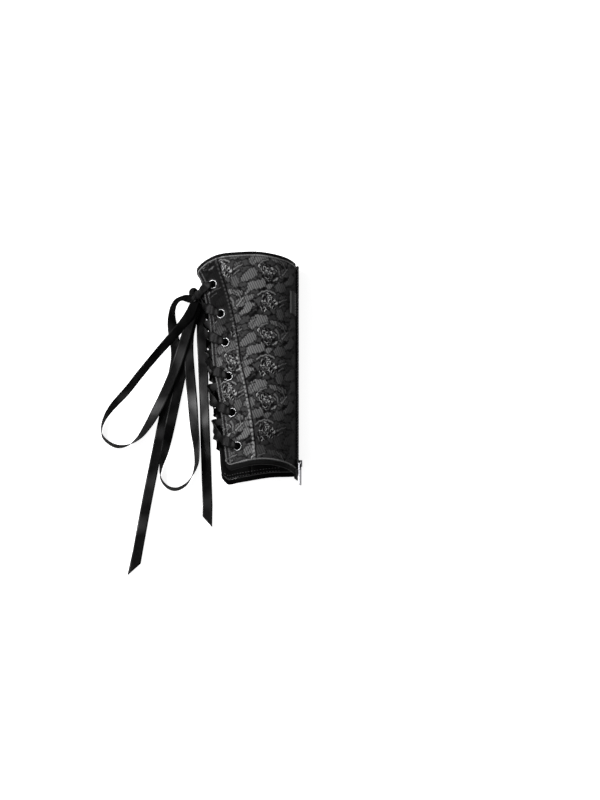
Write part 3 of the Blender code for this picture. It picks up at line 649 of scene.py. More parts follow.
def edgeLine(side, share, end):
    share = np.asarray(share, float)
    radius, reach = wall["corner"][end]
    distance = share * reach
    pull = np.where(distance < radius, radius * (1 - distance / radius)**2, 0)
    y = smoothRead(*zip(*wall["topEdge" if end == "top" else side + "Hem"]), share)
    return y - pull if end == "top" else y + pull


# lace pattern: one repeat, charted in mm from its upper flower

lace = {
    "width": 46,
    "height": 67,
    "drop": 33.5,
    # the chart was drawn at the camera's tilt, so it is stretched upward
    "chartTilt": 1.05,
    "texel": 0.25,
    "cells": 36,
    # net patches: strength, then corners as across and up
    "patches": (
        (0.95, ((-11, 19.2), (0, 18.2), (0.6, 12.5), (-3.2, 10), (-4.5, 7.8), (-11, 8.5), (-14.5, 5.5),
            (-16, 7.5), (-14, 11), (-15.8, 14.8))),
        (0.85, ((4, 14), (9, 14), (17, 12.5), (21.2, 11), (19.5, 7.5), (15, 7.8), (13, 9.5), (8, 10),
            (4.5, 11.8))),
        (0.85, ((15, 2), (18, 3.5), (24, 4), (24.5, -1), (21.5, -2.8), (18.5, -3.5), (15, -5.5), (12.5, -5),
            (14.5, -2))),
        (0.8, ((-19, 0.5), (-14, 2.5), (-11, -1), (-11, -5.5), (-15.5, -7.5), (-21, -10), (-26, -10.6),
            (-26.5, -8.5), (-24.5, -5), (-21, -2))),
        (1, ((-17, -11.5), (-12.5, -11), (-4.5, -9), (-1, -15), (-4.5, -16.5), (-10, -18), (-16, -19),
            (-20, -24), (-22, -23), (-19, -18.5), (-19, -14))),
        (0.95, ((-0.5, -14), (4.5, -12.5), (5.5, -15), (3.5, -17), (2.5, -19.5), (0, -17))),
        (1, ((-20.5, -30), (-12, -33.8), (-15, -36), (-16.5, -40), (-26, -43.5), (-27.2, -41.5), (-24, -39),
            (-22, -36))),
        (0.85, ((-23, -25.5), (-13.5, -24), (-14, -27), (-19, -30), (-22, -28))),
        (0.75, ((-16, -50), (-12, -48), (-13.5, -51), (-15.5, -55), (-17.5, -56), (-18, -52))),
        (0.5, ((12, -10.5), (18, -12), (20, -16), (15, -20), (9, -19), (8, -15))),
        (0.4, ((14, -24), (19, -23), (19.5, -31), (15, -32), (13, -28))),
        (0.45, ((10, -38), (15, -37), (18, -42), (15, -48), (10.5, -45))),
    ),
    # stems and petal rims: strength, half width, then points
    "threads": (
        (0.75, 0.6, ((6.5, -9.5), (9, -8), (10.5, -6))),
        (0.3, 0.9, ((9, 5.5), (12, 2.5), (12.5, -2))),
        (0.5, 0.6, ((-9, -24), (-5, -21), (0, -19.8), (4, -20.5), (8, -22.5))),
        (0.65, 0.55, ((-30, -34.5), (-24, -27))),
        (0.45, 0.45, ((-34, 1.5), (-30, 4), (-25, 6))),
        (0.35, 0.45, ((-33, -2.5), (-28, 1))),
        (0.35, 0.45, ((12, -51), (17, -54), (20, -60))),
        (0.4, 0.45, ((-8.5, -58), (-4.5, -54), (1, -52.5))),
    ),
    # flower heads: across, up, radius, turn
    "heads": ((0.5, -0.5, 9, 0.4), (1.5, -31.5, 9.5, 2.3)),
}


def wrapPlace(u, v):
    column = np.floor(u / lace["width"] + 0.5)
    v = v - column * lace["drop"]
    return u - column * lace["width"], v - lace["height"] * np.floor(v / lace["height"] + 0.5)


def chartCopies(corners, grow=1.0):
    corners = np.array(corners, float) * (1, lace["chartTilt"])
    middle = corners.mean(axis=0)
    corners = middle + (corners - middle) * grow
    for column in range(-2, 3):
        for rise in range(-2, 3):
            move = np.array((column * lace["width"], column * lace["drop"] + rise * lace["height"]))
            x, y = np.abs(middle + move)
            if x < lace["width"] / 2 + 18 and y < lace["height"] / 2 + 20:
                yield corners + move


def distanceToLine(u, v, points, closed):
    best = np.full(u.shape, 99.0)
    inside = np.zeros(u.shape, bool)
    ends = np.roll(points, -1, axis=0) if closed else points[1:]
    for (ax, ay), (bx, by) in zip(points, ends):
        t = np.clip(((u - ax) * (bx - ax) + (v - ay) * (by - ay)) / ((bx - ax)**2 + (by - ay)**2), 0, 1)
        best = np.minimum(best, np.hypot(u - ax - t * (bx - ax), v - ay - t * (by - ay)))
        if closed and ay != by:
            inside ^= ((ay > v) != (by > v)) & (u < (bx - ax) * (v - ay) / (by - ay) + ax)
    return np.where(inside, -best, best)


def cellTile(u, v):
    near, second, shade, turn = (np.full(u.shape, start) for start in (99.0, 99.0, 0.0, 0.0))
    for _ in range(lace["cells"]):
        x, y = rng.uniform(-0.5, 0.5) * lace["width"], rng.uniform(-0.5, 0.5) * lace["height"]
        bright, angle = rng.uniform(0, 1), rng.uniform(0.2, 1.2)
        for column in (-1, 0, 1):
            for rise in (-1, 0, 1):
                centreV = y + column * lace["drop"] + rise * lace["height"]
                away = np.hypot(u - (x + column * lace["width"]), (v - centreV) * 1.25)
                closer = away < near
                second = np.where(closer, near, np.minimum(second, away))
                near = np.where(closer, away, near)
                shade, turn = np.where(closer, bright, shade), np.where(closer, angle, turn)
    return second - near, shade, turn


def flowerHead(x, y, radius, start):
    r, turn = np.hypot(x, y), np.arctan2(y, x)
    lobes = 0.24 * np.sin(3 * turn + start) + 0.13 * np.sin(5 * turn + 2 * start) + 0.05 * np.sin(11 * turn)
    head = ramp(radius * (1 + lobes) - r, 0, 0.7)
    # petals as crumpled, broken rings, like gathered thread
    crumple = 1.7 * np.sin(2 * turn + start) + 1.1 * np.sin(3 * turn + 0.5 * r + 2 * start)
    crumple = crumple + 0.7 * np.sin(1.4 * x + 0.9 * y) + 0.5 * np.sin(1.2 * y - 1.8 * x + start)
    phase = math.tau * (r + crumple) / 3.3
    ring = np.round(phase / math.tau)
    broken = np.clip(0.45 + 1.5 * np.sin(2.6 * ring * turn + 1.9 * ring + start), 0, 1)
    petal = np.clip(2.2 * np.cos(phase) - 0.75, 0, 1) * (0.08 + 0.92 * broken)
    # the dark lines between the rings are painted shade that makes them look raised
    return head, petal, np.clip(0.1 - 2 * np.cos(phase), 0, 1)


def laceTile():
    columns, rows = (round(lace[key] / lace["texel"]) for key in ("width", "height"))
    u, v = np.meshgrid((np.arange(columns) + 0.5) / columns - 0.5, (np.arange(rows) + 0.5) / rows - 0.5)
    u, v = u * lace["width"], v * lace["height"]
    # the edges of real lace are ragged, so every place is shaken a little
    ragU = 0.50 * np.sin(v * 1.7 + 0.7 * u) + 0.26 * np.sin(v * 3.7 - u) + 0.16 * np.sin(u * 3.1)
    ragV = 0.50 * np.sin(u * 1.5 - 0.6 * v) + 0.26 * np.sin(u * 3.3 + v) + 0.16 * np.sin(v * 3.3)
    x, y = u + ragU, v + ragV
    edge, shade, turn = cellTile(x, y)
    crack = np.clip(1.45 - edge / 1.15, 0, 1)
    ribs = 0.5 + 0.5 * np.sin((x * np.cos(turn) + y * np.sin(turn)) * 2.7)
    leaf = (0.25 + 0.75 * shade) * (0.55 + 0.45 * ribs) * (1 - crack)
    net, curl, outline = np.zeros(u.shape), np.zeros(u.shape), 0.95 * crack
    for across, up, radius, start in lace["heads"]:
        for (headU, headV), in chartCopies(((across, up),)):
            head, petal, gap = flowerHead(u - headU, v - headV, radius, start)
            curl = np.maximum(curl, petal * head)
            outline = np.maximum(outline * (1 - head), 0.95 * gap * head)
            leaf = leaf * (1 - head) + 0.45 * head * (1 - gap)
    for strength, corners in lace["patches"]:
        for copy in chartCopies(corners, 1.08):
            away = distanceToLine(x, y, copy, True)
            body = np.clip(0.9 - away / 0.5, 0, 1)
            rim = bell(away, 0.9, 0.6) * (0.75 + 0.25 * np.sin(x * 0.8 + y * 1.3))
            net = np.maximum(net, strength * body)
            outline = np.maximum(outline * (1 - body), rim * (away > 0))
            leaf = leaf * (1 - body)
    for strength, half, points in lace["threads"]:
        for copy in chartCopies(points):
            away = distanceToLine(u + 0.6 * ragU, v + 0.6 * ragV, copy, False)
            stroke = bell(away, 0, half)
            curl = np.maximum(curl, strength * stroke)
            # the dark line beside each stem is painted shade that makes it look raised
            outline = np.maximum(outline * (1 - stroke), 0.8 * bell(away - half, 0.9, 0.45))
            net = net * (1 - bell(away, 0, half + 0.5))
    return np.stack([net, curl, np.clip(outline, 0, 1) * (1 - curl), leaf], axis=-1)


laceMap = laceTile()
print("lace is charted:", laceMap.shape[1], "by", laceMap.shape[0])


def laceMasks(u, v):
    rows, columns = laceMap.shape[:2]
    u, v = wrapPlace(u, v)
    x, y = (u / lace["width"] + 0.5) * columns - 0.5, (v / lace["height"] + 0.5) * rows - 0.5
    i, j = np.floor(y).astype(int), np.floor(x).astype(int)
    across = [np.clip(k, 0, columns - 1) for k in (j, j + 1)]
    return blendGrid(laceMap, (i % rows, (i + 1) % rows), across, y - i, x - j)


# panels

panel = {
    "cell": {"front": 0.52, "back": 1},
    "innerStep": 4,          # the lining has one point for every fourth of the lace
    "relief": (0.12, 0.50, -0.28, 0.22),      # net, curl, outline, leaf
    "wide": {"eyelet": 36, "main": 84},
    "long": 216,
    # where a flower of the repeat lies, and how far the lace is turned
    "flower": {
        "front_main": (-37, 87.3, 0), "front_eyelet": (-71, -5, -9),
        "back_main": (-37, 80, 0), "back_eyelet": (-70, 10, 8),
    },
    "edgeRound": 1.1,
    "welt": {"height": 0.38, "at": 1.4, "width": 0.8, "pitch": 4.1},
}
eyelets = {
    # front across, along, back across
    "places": (
        (-9.6, -92.8, -14.5), (-15, -58, -18.3), (-18.8, -20.8, -23),
        (-22, 14.4, -26), (-26.5, 44.6, -26.6), (-34.8, 75.7, -30.5),
    ),
    "barrel": 3.4,
    # radius, height over the cloth: a thin rolled rim with a funnel inside it, which is black as painted shade
    # in the hole
    "rim": (
        (4.65, 0.02), (4.62, 0.45), (4.42, 0.85), (4.15, 1.02), (3.9, 0.92), (3.72, 0.66), (3.5, 0.3),
        (3.2, 0.05), (2.95, -0.4),
    ),
    "shadedFunnelFrom": 5,
    "around": 48,
    "drillAround": 24,
}


def gridFaces(numbers, flip=False):
    corners = [numbers[:-1, :-1], numbers[:-1, 1:], numbers[1:, 1:], numbers[1:, :-1]]
    faces = np.stack(corners, axis=-1).reshape(-1, 4)
    return (faces[:, ::-1] if flip else faces).tolist()


def shellBorder(outer, inner, step):
    # each step of the inner edge is closed to its run of outer points
    faces = []
    for edges in (
        ((outer[0], inner[0], -1), (outer[-1], inner[-1], 1)),
        ((outer[:, 0], inner[:, 0], 1), (outer[:, -1], inner[:, -1], -1)),
    ):
        for k in range(len(edges[0][1]) - 1):
            for line, under, way in edges:
                run = line[k * step:(k + 1) * step + 1][::way]
                faces.append(np.concatenate([run, under[k:k + 2][::-way]]).tolist())
    return faces


def shellObject(name, side, places, heights, uv, masks, materials, step=1):
    mid, normal = wallPoint(side, *places), wallNormal(side, *places)
    outer, inner = (mid + normal * height[..., None] for height in heights)
    numbers = np.arange(uv[..., 0].size).reshape(uv.shape[:2])
    few = numbers[::step, ::step].shape
    under = numbers.size + np.arange(math.prod(few)).reshape(few)
    outside, inside = gridFaces(numbers), gridFaces(under, flip=True)
    border = shellBorder(numbers, under, step)
    slots = [0] * len(outside) + [1] * len(inside) + [0] * len(border)
    points, uv, masks = (
        np.concatenate([grid.reshape(-1, grid.shape[-1]) for grid in (whole, sparse[::step, ::step])])
        for whole, sparse in ((outer, inner), (uv, uv), (masks, masks))
    )
    return meshObject(name, points, outside + inside + border, materials, uv, masks, slots)


def panelPlaces(side, part, p, rows):
    p, q = np.meshgrid(p, np.linspace(0, 1, rows + 1))

    def shareAcross(y):
        seam = seamShare(side, y)
        return (seam + 0.001) * p if part == "eyelet" else seam - 0.001 + (1 - (seam - 0.001)) * p

    share = shareAcross(0 * p)
    for _ in range(5):
        low = edgeLine(side, share, "hem") + wall["hemBand"] + wall["gap"]
        high = edgeLine(side, share, "top") - wall["topBand"] - wall["gap"]
        y = low + (high - low) * q
        share = shareAcross(y)
    return share, y


def addLine(masks, line, strength):
    masks[..., 1] = np.maximum(masks[..., 1] * (1 - line), strength * line)
    masks[..., 2] = masks[..., 2] * (1 - line)


def darken(masks, amount):
    masks[..., 2] = np.maximum(masks[..., 2], amount)


# painted shade: dims the pattern and darkens the cloth
def paintShade(masks, share, lines, leaf, outline):
    masks[..., :2] *= (1 - lines * share)[..., None]
    masks[..., 3] *= 1 - leaf * share
    darken(masks, outline * share)


def dressEyeletPanel(masks, lift, y, fromEdge, fromSeam):
    welt = panel["welt"]
    bead = 0.50 + 0.50 * np.cos(math.tau * y / welt["pitch"] + 1.3 * np.sin(y / 9))
    swell = bell(fromSeam, welt["at"], welt["width"]) * bead
    lift = lift + welt["height"] * swell
    # a pale line along the welt is painted highlight, stronger toward the hem
    addLine(masks, swell, 0.38 + 0.42 * ramp(y, 20, -60))
    # painted shade makes the top of this panel darker and its pattern plainer
    paintShade(masks, ramp(y, -5, 55), 0.65, 0.4, 0.88)
    rounding = np.sqrt(np.clip(1 - (1 - ramp(fromEdge, 0, panel["edgeRound"]))**2, 0.06, 1))
    # the folded lacing edge between its two rows of stitches
    fold = bell(fromEdge, 3.5, 1.3)
    masks[..., :2] *= (0.3 + 0.7 * ramp(fromEdge, 5.4, 2))[..., None]
    darken(masks, 0.8 * fold)
    dots = 0.65 + 0.35 * np.cos(math.tau * y / 2.3)
    for at, strength in ((1.5, 0.42), (5.4, 0.36)):
        addLine(masks, bell(fromEdge, at, 0.5) * dots, strength * (0.5 + 0.5 * ramp(y, 30, -60)))
    return (lift + 0.2 * fold) * rounding, rounding


def dressMainPanel(masks, lift, y, fromZip, fromSeam):
    # the seam sinks into a groove, and the dark line along it is painted shade
    groove = bell(fromSeam, 0, 1.15)
    masks *= (1 - groove)[..., None]
    darken(masks, np.clip(1.6 * groove, 0, 1))
    # painted shade: the cloth goes nearly black toward the zip, where the wall turns down away from the light
    paintShade(masks, np.clip(1 - fromZip / 24, 0, 1), 0.75, 0.5, 0.8)
    # painted shade: darker toward the hem
    paintShade(masks, ramp(y, -48, -34), 0.5, 0, 0.5)
    return lift - 0.7 * groove - 0.3 * bell(fromZip, 1, 1.4)


def panelObject(name, side, part):
    step, cell = panel["innerStep"], panel["cell"][side]
    columns, rows = (round(size / cell / step) * step for size in (panel["wide"][part], panel["long"]))
    p = np.linspace(0, 1, columns + 1)
    if part == "eyelet":
        edge = np.array([0, 0.15, 0.45, 0.9, 1.6]) / 30
        p = np.concatenate([edge, np.linspace(edge[-1], 1, columns - 3)[1:]])
    share, y = panelPlaces(side, part, p, rows)
    arc = arcLength(side, y)
    fromZip, fromEdge, fromSeam = (1 - share) * arc, share * arc, np.abs(share - seamShare(side, y)) * arc
    flowerU, flowerV, turn = panel["flower"][f"{side}_{part}"]
    u, v, c, s = -fromZip - flowerU, y - flowerV, math.cos(math.radians(turn)), math.sin(math.radians(turn))
    masks = laceMasks(u * c + v * s, -u * s + v * c)
    lift = sum(masks[..., k] * panel["relief"][k] for k in range(4))
    # soft unevenness of the cloth
    lift = lift + 0.25 * np.sin(y / 11 + fromZip / 17) * np.sin(fromZip / 13 + 0.8)
    half = np.full(share.shape, wall["thickness"] / 2)
    if part == "eyelet":
        lift, rounding = dressEyeletPanel(masks, lift, y, fromEdge, fromSeam)
        half = half * rounding
    else:
        lift = dressMainPanel(masks, lift, y, fromZip, fromSeam)
    # painted highlight on the ridges where the cloth meets the two bindings, and painted shade in the groove
    # beside each
    fromTop = edgeLine(side, share, "top") - wall["topBand"] - y
    fromHem = y - edgeLine(side, share, "hem") - wall["hemBand"]
    for away, strength in ((fromTop, 0.45), (fromHem, 0.40)):
        ridge, groove = bell(away, 0.9, 0.6), bell(away, 2.3, 0.5)
        lift = lift + 0.25 * ridge - 0.2 * groove
        addLine(masks, ridge, strength)
        darken(masks, 0.7 * groove)
    if side == "back":
        lift = np.minimum(lift, 0) * 0.4
    if part == "eyelet":
        for holeShare, holeY in (eyeletPlace(side, place) for place in eyelets["places"]):
            near = ramp(np.hypot((share - holeShare) * arc, y - holeY), 5, 1.5)
            lift = lift * near
            masks = masks * near[..., None]
    uv = np.stack([-fromZip, y], axis=-1)
    return shellObject(name, side, (share, y), (half + lift, -half), uv, masks, ("lace", "lining"), step)


def eyeletPlace(side, row):
    return shareAt(side, row[0 if side == "front" else 2], row[1]), row[1]


def eyeletAt(side, row):
    share, y = eyeletPlace(side, row)
    return share, y, wallPoint(side, share, y), wallNormal(side, share, y)


def placeMatrix(point, x, z):
    turn = Matrix((x, z.cross(x), z)).transposed().to_4x4()
    return Matrix.Translation(Vector(toWorld(point))) @ turn


def turnedRing(side, row, profile, around):
    _, _, centre, normal = eyeletAt(side, row)
    z = Vector(normal).normalized()
    place = placeMatrix(centre, Vector((0, 1, 0)).cross(z).normalized(), z)
    rings = []
    for k in range(around):
        c, s = math.cos(k * math.tau / around), math.sin(k * math.tau / around)
        rings.append([place @ Vector((r * c * mm, r * s * mm, height * mm)) for r, height in profile])
    return rings


def drillHoles(obj, side):
    points, faces = [], []
    radius, around = eyelets["barrel"] + 0.45, eyelets["drillAround"]
    for row in eyelets["places"]:
        faces += tubeFaces(2, around, len(points))
        low, high = zip(*turnedRing(side, row, ((radius, -4), (radius, 4)), around))
        points += low + high
    drill = meshObject("holeDrills", points, faces, inWorld=True, closed=False)
    cut = obj.modifiers.new("holes", "BOOLEAN")
    cut.operation, cut.solver, cut.object = "DIFFERENCE", "EXACT", drill
    bpy.context.view_layer.update()
    cutMesh = bpy.data.meshes.new_from_object(obj.evaluated_get(bpy.context.evaluated_depsgraph_get()))
    obj.modifiers.clear()
    old, obj.data = obj.data, cutMesh
    bpy.data.meshes.remove(old)
    bpy.data.objects.remove(drill)
    obj.data.name = obj.name
    obj.data.shade_smooth()


for sideName in ("front", "back"):
    for partName in ("main", "eyelet"):
        piece = panelObject(f"{sideName}{partName.title()}Panel", sideName, partName)
        if partName == "eyelet":
            drillHoles(piece, sideName)
        finish(piece, "lace", f"{sideName}_{partName}_panel")
        print(piece.name, "has", len(piece.data.polygons), "faces")


# bindings: rounded folds along the elbow end and the hem

binding = {"columns": 150, "around": 18, "thickness": 2.5}


def bindingObject(name, side, end):
    share = np.linspace(0, 1, binding["columns"] + 1)[:, None]**1.35
    turn = np.arange(binding["around"]) * math.tau / binding["around"]
    c, s = np.cos(turn), np.sin(turn)
    edge, half = edgeLine(side, share, end), wall[end + "Band"] / 2
    y = edge + (half if end == "hem" else -half) + half * np.sign(c) * np.abs(c)**0.6
    out = binding["thickness"] / 2 * np.sign(s) * np.abs(s)**0.75 * (0.8 if side == "back" else 1)
    out = out + 0.06 * np.sin(0.9 * np.arange(len(share)))[:, None] * (s > 0)
    points = wallPoint(side, share, y) + wallNormal(side, share, y) * out[..., None]
    uv = np.stack([(share - 1) * arcLength(side, edge) + 0 * y, y + 2 * s], axis=-1)
    return loftObject(name, points, "binding", uv)


for sideName in ("front", "back"):
    for endName in ("top", "hem"):
        piece = bindingObject(f"{sideName}{endName.title()}Binding", sideName, endName)
        finish(piece, "lace", f"{sideName}_{endName}_binding")
print("bindings are made")


# eyelets: turned silver rings

def eyeletObject(name, side, row, node):
    top, barrel = wall["thickness"] / 2 + 0.05, eyelets["barrel"]
    profile = [(r, top + z) for r, z in eyelets["rim"]] + [
        (2.95, -top), (3.1, -top - 0.45), (4.1, -top - 0.45), (4.1, -top),
        (barrel, 0.1 - top), (barrel, top - 0.1),
    ]
    around, count = eyelets["around"], len(profile)
    points = sum(turnedRing(side, row, profile, around), [])
    # from the funnel inward the ring is black: painted shade
    slots = [int(j >= eyelets["shadedFunnelFrom"]) for j in range(count)] * around
    faces = loftFaces(around, count, ringed=True)
    ring = meshObject(name, points, faces, ("silver", "black"), slots=slots, inWorld=True)
    return finish(ring, "silver", node)


for sideName in ("front", "back"):
    for number, place in enumerate(reversed(eyelets["places"]), start=1):
        eyeletObject(f"{sideName}Eyelet{number}", sideName, place, f"{sideName}_eyelet_{number}")
print("eyelets are made")


# lacing

lacing = {
    "thickness": 0.5,
    "spacing": 0.8,
    "across": 11,
    "foldHeight": 0.9,
    "foldWidth": 4.5,
    "foldSlant": 0.30,
    "crossingWide": 8.8,
    # how far each crossing bulges past the edge, and how much of that its ends take
    "bulge": {2: (-2, 1), 3: (-3.4, 1), 4: (0, 0.4), 5: (-3.2, 1), 6: (-2, 1)},
    "underIn": 3.4,
}
knotAt = (-52, 69.6, 7.4)


def row(point, width, *move):
    return (*(np.asarray(point) + (move or (0, 0, 0))), width)


def wallRows(side, share, y, rows):
    # part of the way to the eyelet, rise along the edge, lift off the wall, width
    made = []
    for part, rise, lift, width in rows:
        place = side, share * part, y + rise
        half = math.copysign(wall["thickness"] / 2, lift)
        made.append(row(wallPoint(*place) + wallNormal(*place) * (half + lift), width))
    return made


def eyeletOut(side, place, bulge=1):
    share, y, centre, normal = eyeletAt(side, place)
    edge = wallPoint(side, 0, y + 8.5)
    start = [row(centre + normal * 0.4, 4.2)]
    if side == "front":
        start.append(row(centre + normal * 3.2, 5, -0.8, 0.2, 0))
        run = wallRows(side, share, y, ((0.66, 2.2, 3.3, 8), (0.4, 5, 3.7, 9.6), (0.12, 7.4, 3.9, 9.8)))
        return start + run + [row(edge, 7.2, -2.2 * bulge, 0.8, 1)]
    start.append(row(centre + normal * 3, 4.6, -0.8, 0.2, 0))
    run = wallRows(side, share, y, ((0.64, 2.5, 2.4, 6.4), (0.3, 5.5, 1.5, 8.4)))
    return start + run + [row(edge, 9, -1.8, -0.6, -1.6), row(edge, 8.6, -2.4, 1, 2.2)]


def eyeletIn(side, place, bulge=1):
    share, y, centre, normal = eyeletAt(side, place)
    edge = wallPoint(side, 0, y - 8.5)
    if side == "back":
        start, near = [row(edge, 9.4, -3, 2, 1.8)], (0.4, -4.4, -1.6, 8.8)
    else:
        start = [row(edge, 9.8, -3.6 * bulge, 1, -7), row(edge, 9.8, 0.6, 0.6, -3.2)]
        near = (0.42, -5, -2.4, 8.8)
    return start + wallRows(side, share, y, (near, (0.72, -2, -2.4, 6.4))) + [
        row(centre - normal * 3.7, 4.6, -0.6, -0.2, 0), row(centre - normal * 1.2, 4.2),
    ]


def lacedRibbon(name, rows, node, foldAt=None):
    read, at = routeRows(rows, lacing["spacing"])
    points, width = read[:, :3], read[:, 3]
    run = runDirections(points)
    along = unit(wallPoint("front", 0, points[:, 1] + 4) - wallPoint("front", 0, points[:, 1] - 4))
    wide = unit(along - run * np.einsum("ij,ij->i", along, run)[:, None])
    crown = 0.10 * (10.5 - width) + 0.10 * np.sin(at / 3.1)
    rings = ribbonRings(points, wide, width, crown, lacing)
    uv = ribbonUv(at, width, lacing["across"])
    if foldAt:
        away = at[:, None] - foldAt - lacing["foldSlant"] * uv[..., 0]
        rise = lacing["foldHeight"] * np.clip(1.02 - np.sqrt((away / lacing["foldWidth"])**2 + 0.012), 0, 1)
        rings = rings + unit(np.cross(wide, run))[:, None] * rise[..., None]
    return finish(loftObject(name, rings, "ribbon", uv), "satin", node)


order = eyelets["places"][::-1]
for number, (apart, ends) in lacing["bulge"].items():
    here, above = order[number - 1], order[number - 2]
    for wayName, out, back, move in (
        ("Over", eyeletOut("front", here, ends), eyeletIn("back", above), apart),
        ("Under", eyeletOut("back", here), eyeletIn("front", above, ends), apart + lacing["underIn"]),
    ):
        middle = (np.array(out[-1][:3]) + np.array(back[0][:3])) / 2
        rows = out + [row(middle, lacing["crossingWide"], move, 0, 0)] + back
        foldAt = 12 + 0.6 * math.sin(2.1 * number) if wayName == "Over" else None
        lacedRibbon(f"lacing{wayName}{number}", rows, f"lacing_{wayName.lower()}_{number}", foldAt)

_, _, high, highNormal = eyeletAt("front", order[-1])
_, _, low, lowNormal = eyeletAt("back", order[-1])
lacedRibbon("lacingBottomBar", [
    row(high - highNormal * 0.9, 4.2), row(high - highNormal * 4, 4.8), row((high + low) / 2, 8),
    row(low - lowNormal * 4, 4.8), row(low - lowNormal * 0.9, 4.2),
], "lacing_bottom_bar")
share, y, high, highNormal = eyeletAt("front", order[0])
lacedRibbon("frontTopStrand", [
    row(high + highNormal * 0.4, 4.2), row(high + highNormal * 3.2, 5, -0.8, -0.2, 0),
    *wallRows("front", share, y, ((0.6, -1.5, 2.8, 7.6),)),
    row(wallPoint("front", 0, y - 4.5), 8.6, -1, 0, 3), row(wallPoint("front", 0, y - 5.5), 8.6, -4, -0.6, -5),
    row(knotAt, 8, -0.5, 0.2, 9.6), row(knotAt, 7.2, -1, 0, 5),
], "front_top_strand", 8)
edge = wallPoint("back", 0, order[0][1])
backStrand = eyeletOut("back", order[0])[:-2] + [row(edge, 8, -1.6, 1, -1.8), row(edge, 7.4, -2.4, -1, 1)]
lacedRibbon("backTopStrand", backStrand, "back_top_strand")
print("lacing is made")


# knot: a folded lump with bands of ribbon round it

knot = {
    "folds": 7,
    "foldDepth": 0.34,
    "size": (6.2, 5.6, 5.0),
    "around": 56,
    "levels": 30,
    # bands over the lump: tilt of the band in plan, width, lift, offset along its own width
    "bands": ((32, 6.4, 0.25, 0), (-38, 4.6, 0.60, 0.6)),
}


def knotObject():
    lift = math.pi * (np.arange(knot["levels"] + 1) + 0.02) / (knot["levels"] + 0.04) - math.pi / 2
    lift, turn = np.meshgrid(lift, np.arange(knot["around"]) * math.tau / knot["around"], indexing="ij")
    fold = knot["foldDepth"] * np.sin(knot["folds"] * turn + 2.2 * lift) * np.cos(lift)
    ball = np.stack([np.cos(lift) * np.cos(turn), np.cos(lift) * np.sin(turn), np.sin(lift)], axis=-1)
    rings = knotAt + (knot["size"] + fold[..., None]) * ball
    return loftObject("bowKnot", rings, "ribbon", np.stack([turn, lift], axis=-1) * 4.5)


def knotBand(name, tilt, width, lift, offset):
    turn = np.linspace(0, math.tau, 61)[:-1, None]
    c, s = math.cos(math.radians(tilt)), math.sin(math.radians(tilt))
    along = np.array((-s, c, 0))
    reach = np.array((c, s, 0)) * np.cos(turn) * (knot["size"][0] + lift)
    reach = reach + np.array((0, 0, 1)) * np.sin(turn) * (knot["size"][2] + lift)
    across = np.linspace(-1, 1, 13)
    pleat = 0.75 * (1 - np.abs(across)**2.4) + 0.28 * np.cos(across * 7)
    side = (knotAt + along * offset + reach)[:, None] + along * (width / 2 * across)[:, None]
    top, low = (side + unit(reach)[:, None] * (pleat - sink)[:, None] for sink in (0.35, 0.85))
    uv = ribbonUv(turn[:, 0] * 5, np.full(len(turn), width), len(across))
    return loftObject(name, np.concatenate([top, low[:, ::-1]], axis=1), "ribbon", uv, ringed=True)


finish(knotObject(), "satin", "bow_knot")
for number, band in enumerate(knot["bands"], start=1):
    finish(knotBand(f"knotBand{number}", *band), "satin")
finish(lyingRibbon("knotCurl", bow["curl"], spacing=0.6)[0], "satin", "knot_curl")
print("knot is made")


# stitches: short raised threads

stitching = {
    "pitch": 3,
    "length": 2.1,
    # for the five rings of a stitch: height over the cloth, radius
    "rise": (-0.19, 0.12, 0.22, 0.12, -0.19),
    "radius": (0.132, 0.228, 0.24, 0.228, 0.132),
}


def stitchRow(name, side, shares, ys, lift=0.0, inner=False):
    along = lengthAlong(wallPoint(side, shares, ys))
    reach = wall["thickness"] / 2 + lift + np.array(stitching["rise"])[:, None]
    radius = np.array(stitching["radius"])[:, None, None]
    turn = np.arange(6)[:, None] * math.tau / 6
    stitches, faces = [], []
    for at in np.arange(1.5, along[-1] - 1.5, stitching["pitch"]):
        ends = at + np.linspace(-0.5, 0.5, 5) * stitching["length"]
        share, y = np.interp(ends, along, shares), np.interp(ends, along, ys)
        normal = wallNormal(side, share, y) * (-1 if inner else 1)
        centre = wallPoint(side, share, y) + normal * reach
        sideways = unit(np.cross(runDirections(centre), normal))
        ring = np.cos(turn) * sideways[:, None] + np.sin(turn) * normal[:, None]
        faces += tubeFaces(5, 6, 30 * len(stitches))
        stitches.append(centre[:, None] + ring * radius)
    points = np.array(stitches).reshape(-1, 3)
    return finish(meshObject(name, points, faces, ("thread",), points[:, :2]), "lace")


def alongEdge(side, distance, low, high):
    y = np.linspace(low, high, 160)
    return side, distance / arcLength(side, y), y


def alongEnd(side, distance, fromShare, toShare, end="hem"):
    share = np.linspace(fromShare, toShare, 160)
    return side, share, edgeLine(side, share, end) + (distance if end == "hem" else -distance)


for stitchName, line in (
    ("edgeStitchOuter", alongEdge("front", 1.9, -104.5, 88)),
    ("edgeStitchInner", alongEdge("front", 5.2, -101.5, 90)),
    ("frontHemStitch", alongEnd("front", 6.4, 0.03, 0.99)),
    ("topStitch", alongEnd("front", 4.2, 0.06, 0.985, "top")),
    ("backHemStitch", alongEnd("back", 6.4, 0.02, 0.99)),
    ("backTopStitch", alongEnd("back", 4.2, 0.06, 0.98, "top")),
    ("backEdgeStitch", alongEdge("back", 1.9, -116, 88)),
):
    stitchRow(stitchName, *line)
for number, distance in enumerate((6.2, 9.4), start=1):
    stitchRow(f"innerHemStitch{number}", *alongEnd("back", distance, 0.03, 0.74), inner=True)
print("stitches are made")


# zip: tape, teeth, slider and pull

zipper = {
    "tapeFrom": -122.8,
    "tapeTo": 101.5,
    "tapeThick": 1.0,
    "chainFrom": -101.8,
    "chainTo": 99.0,
    "chainOut": 1.65,
    "toothPitch": 1.5,
    "toothSize": (1.15, 2.9, 1.6),
    "toothOffset": 0.55,
    "bevel": 0.4,
}


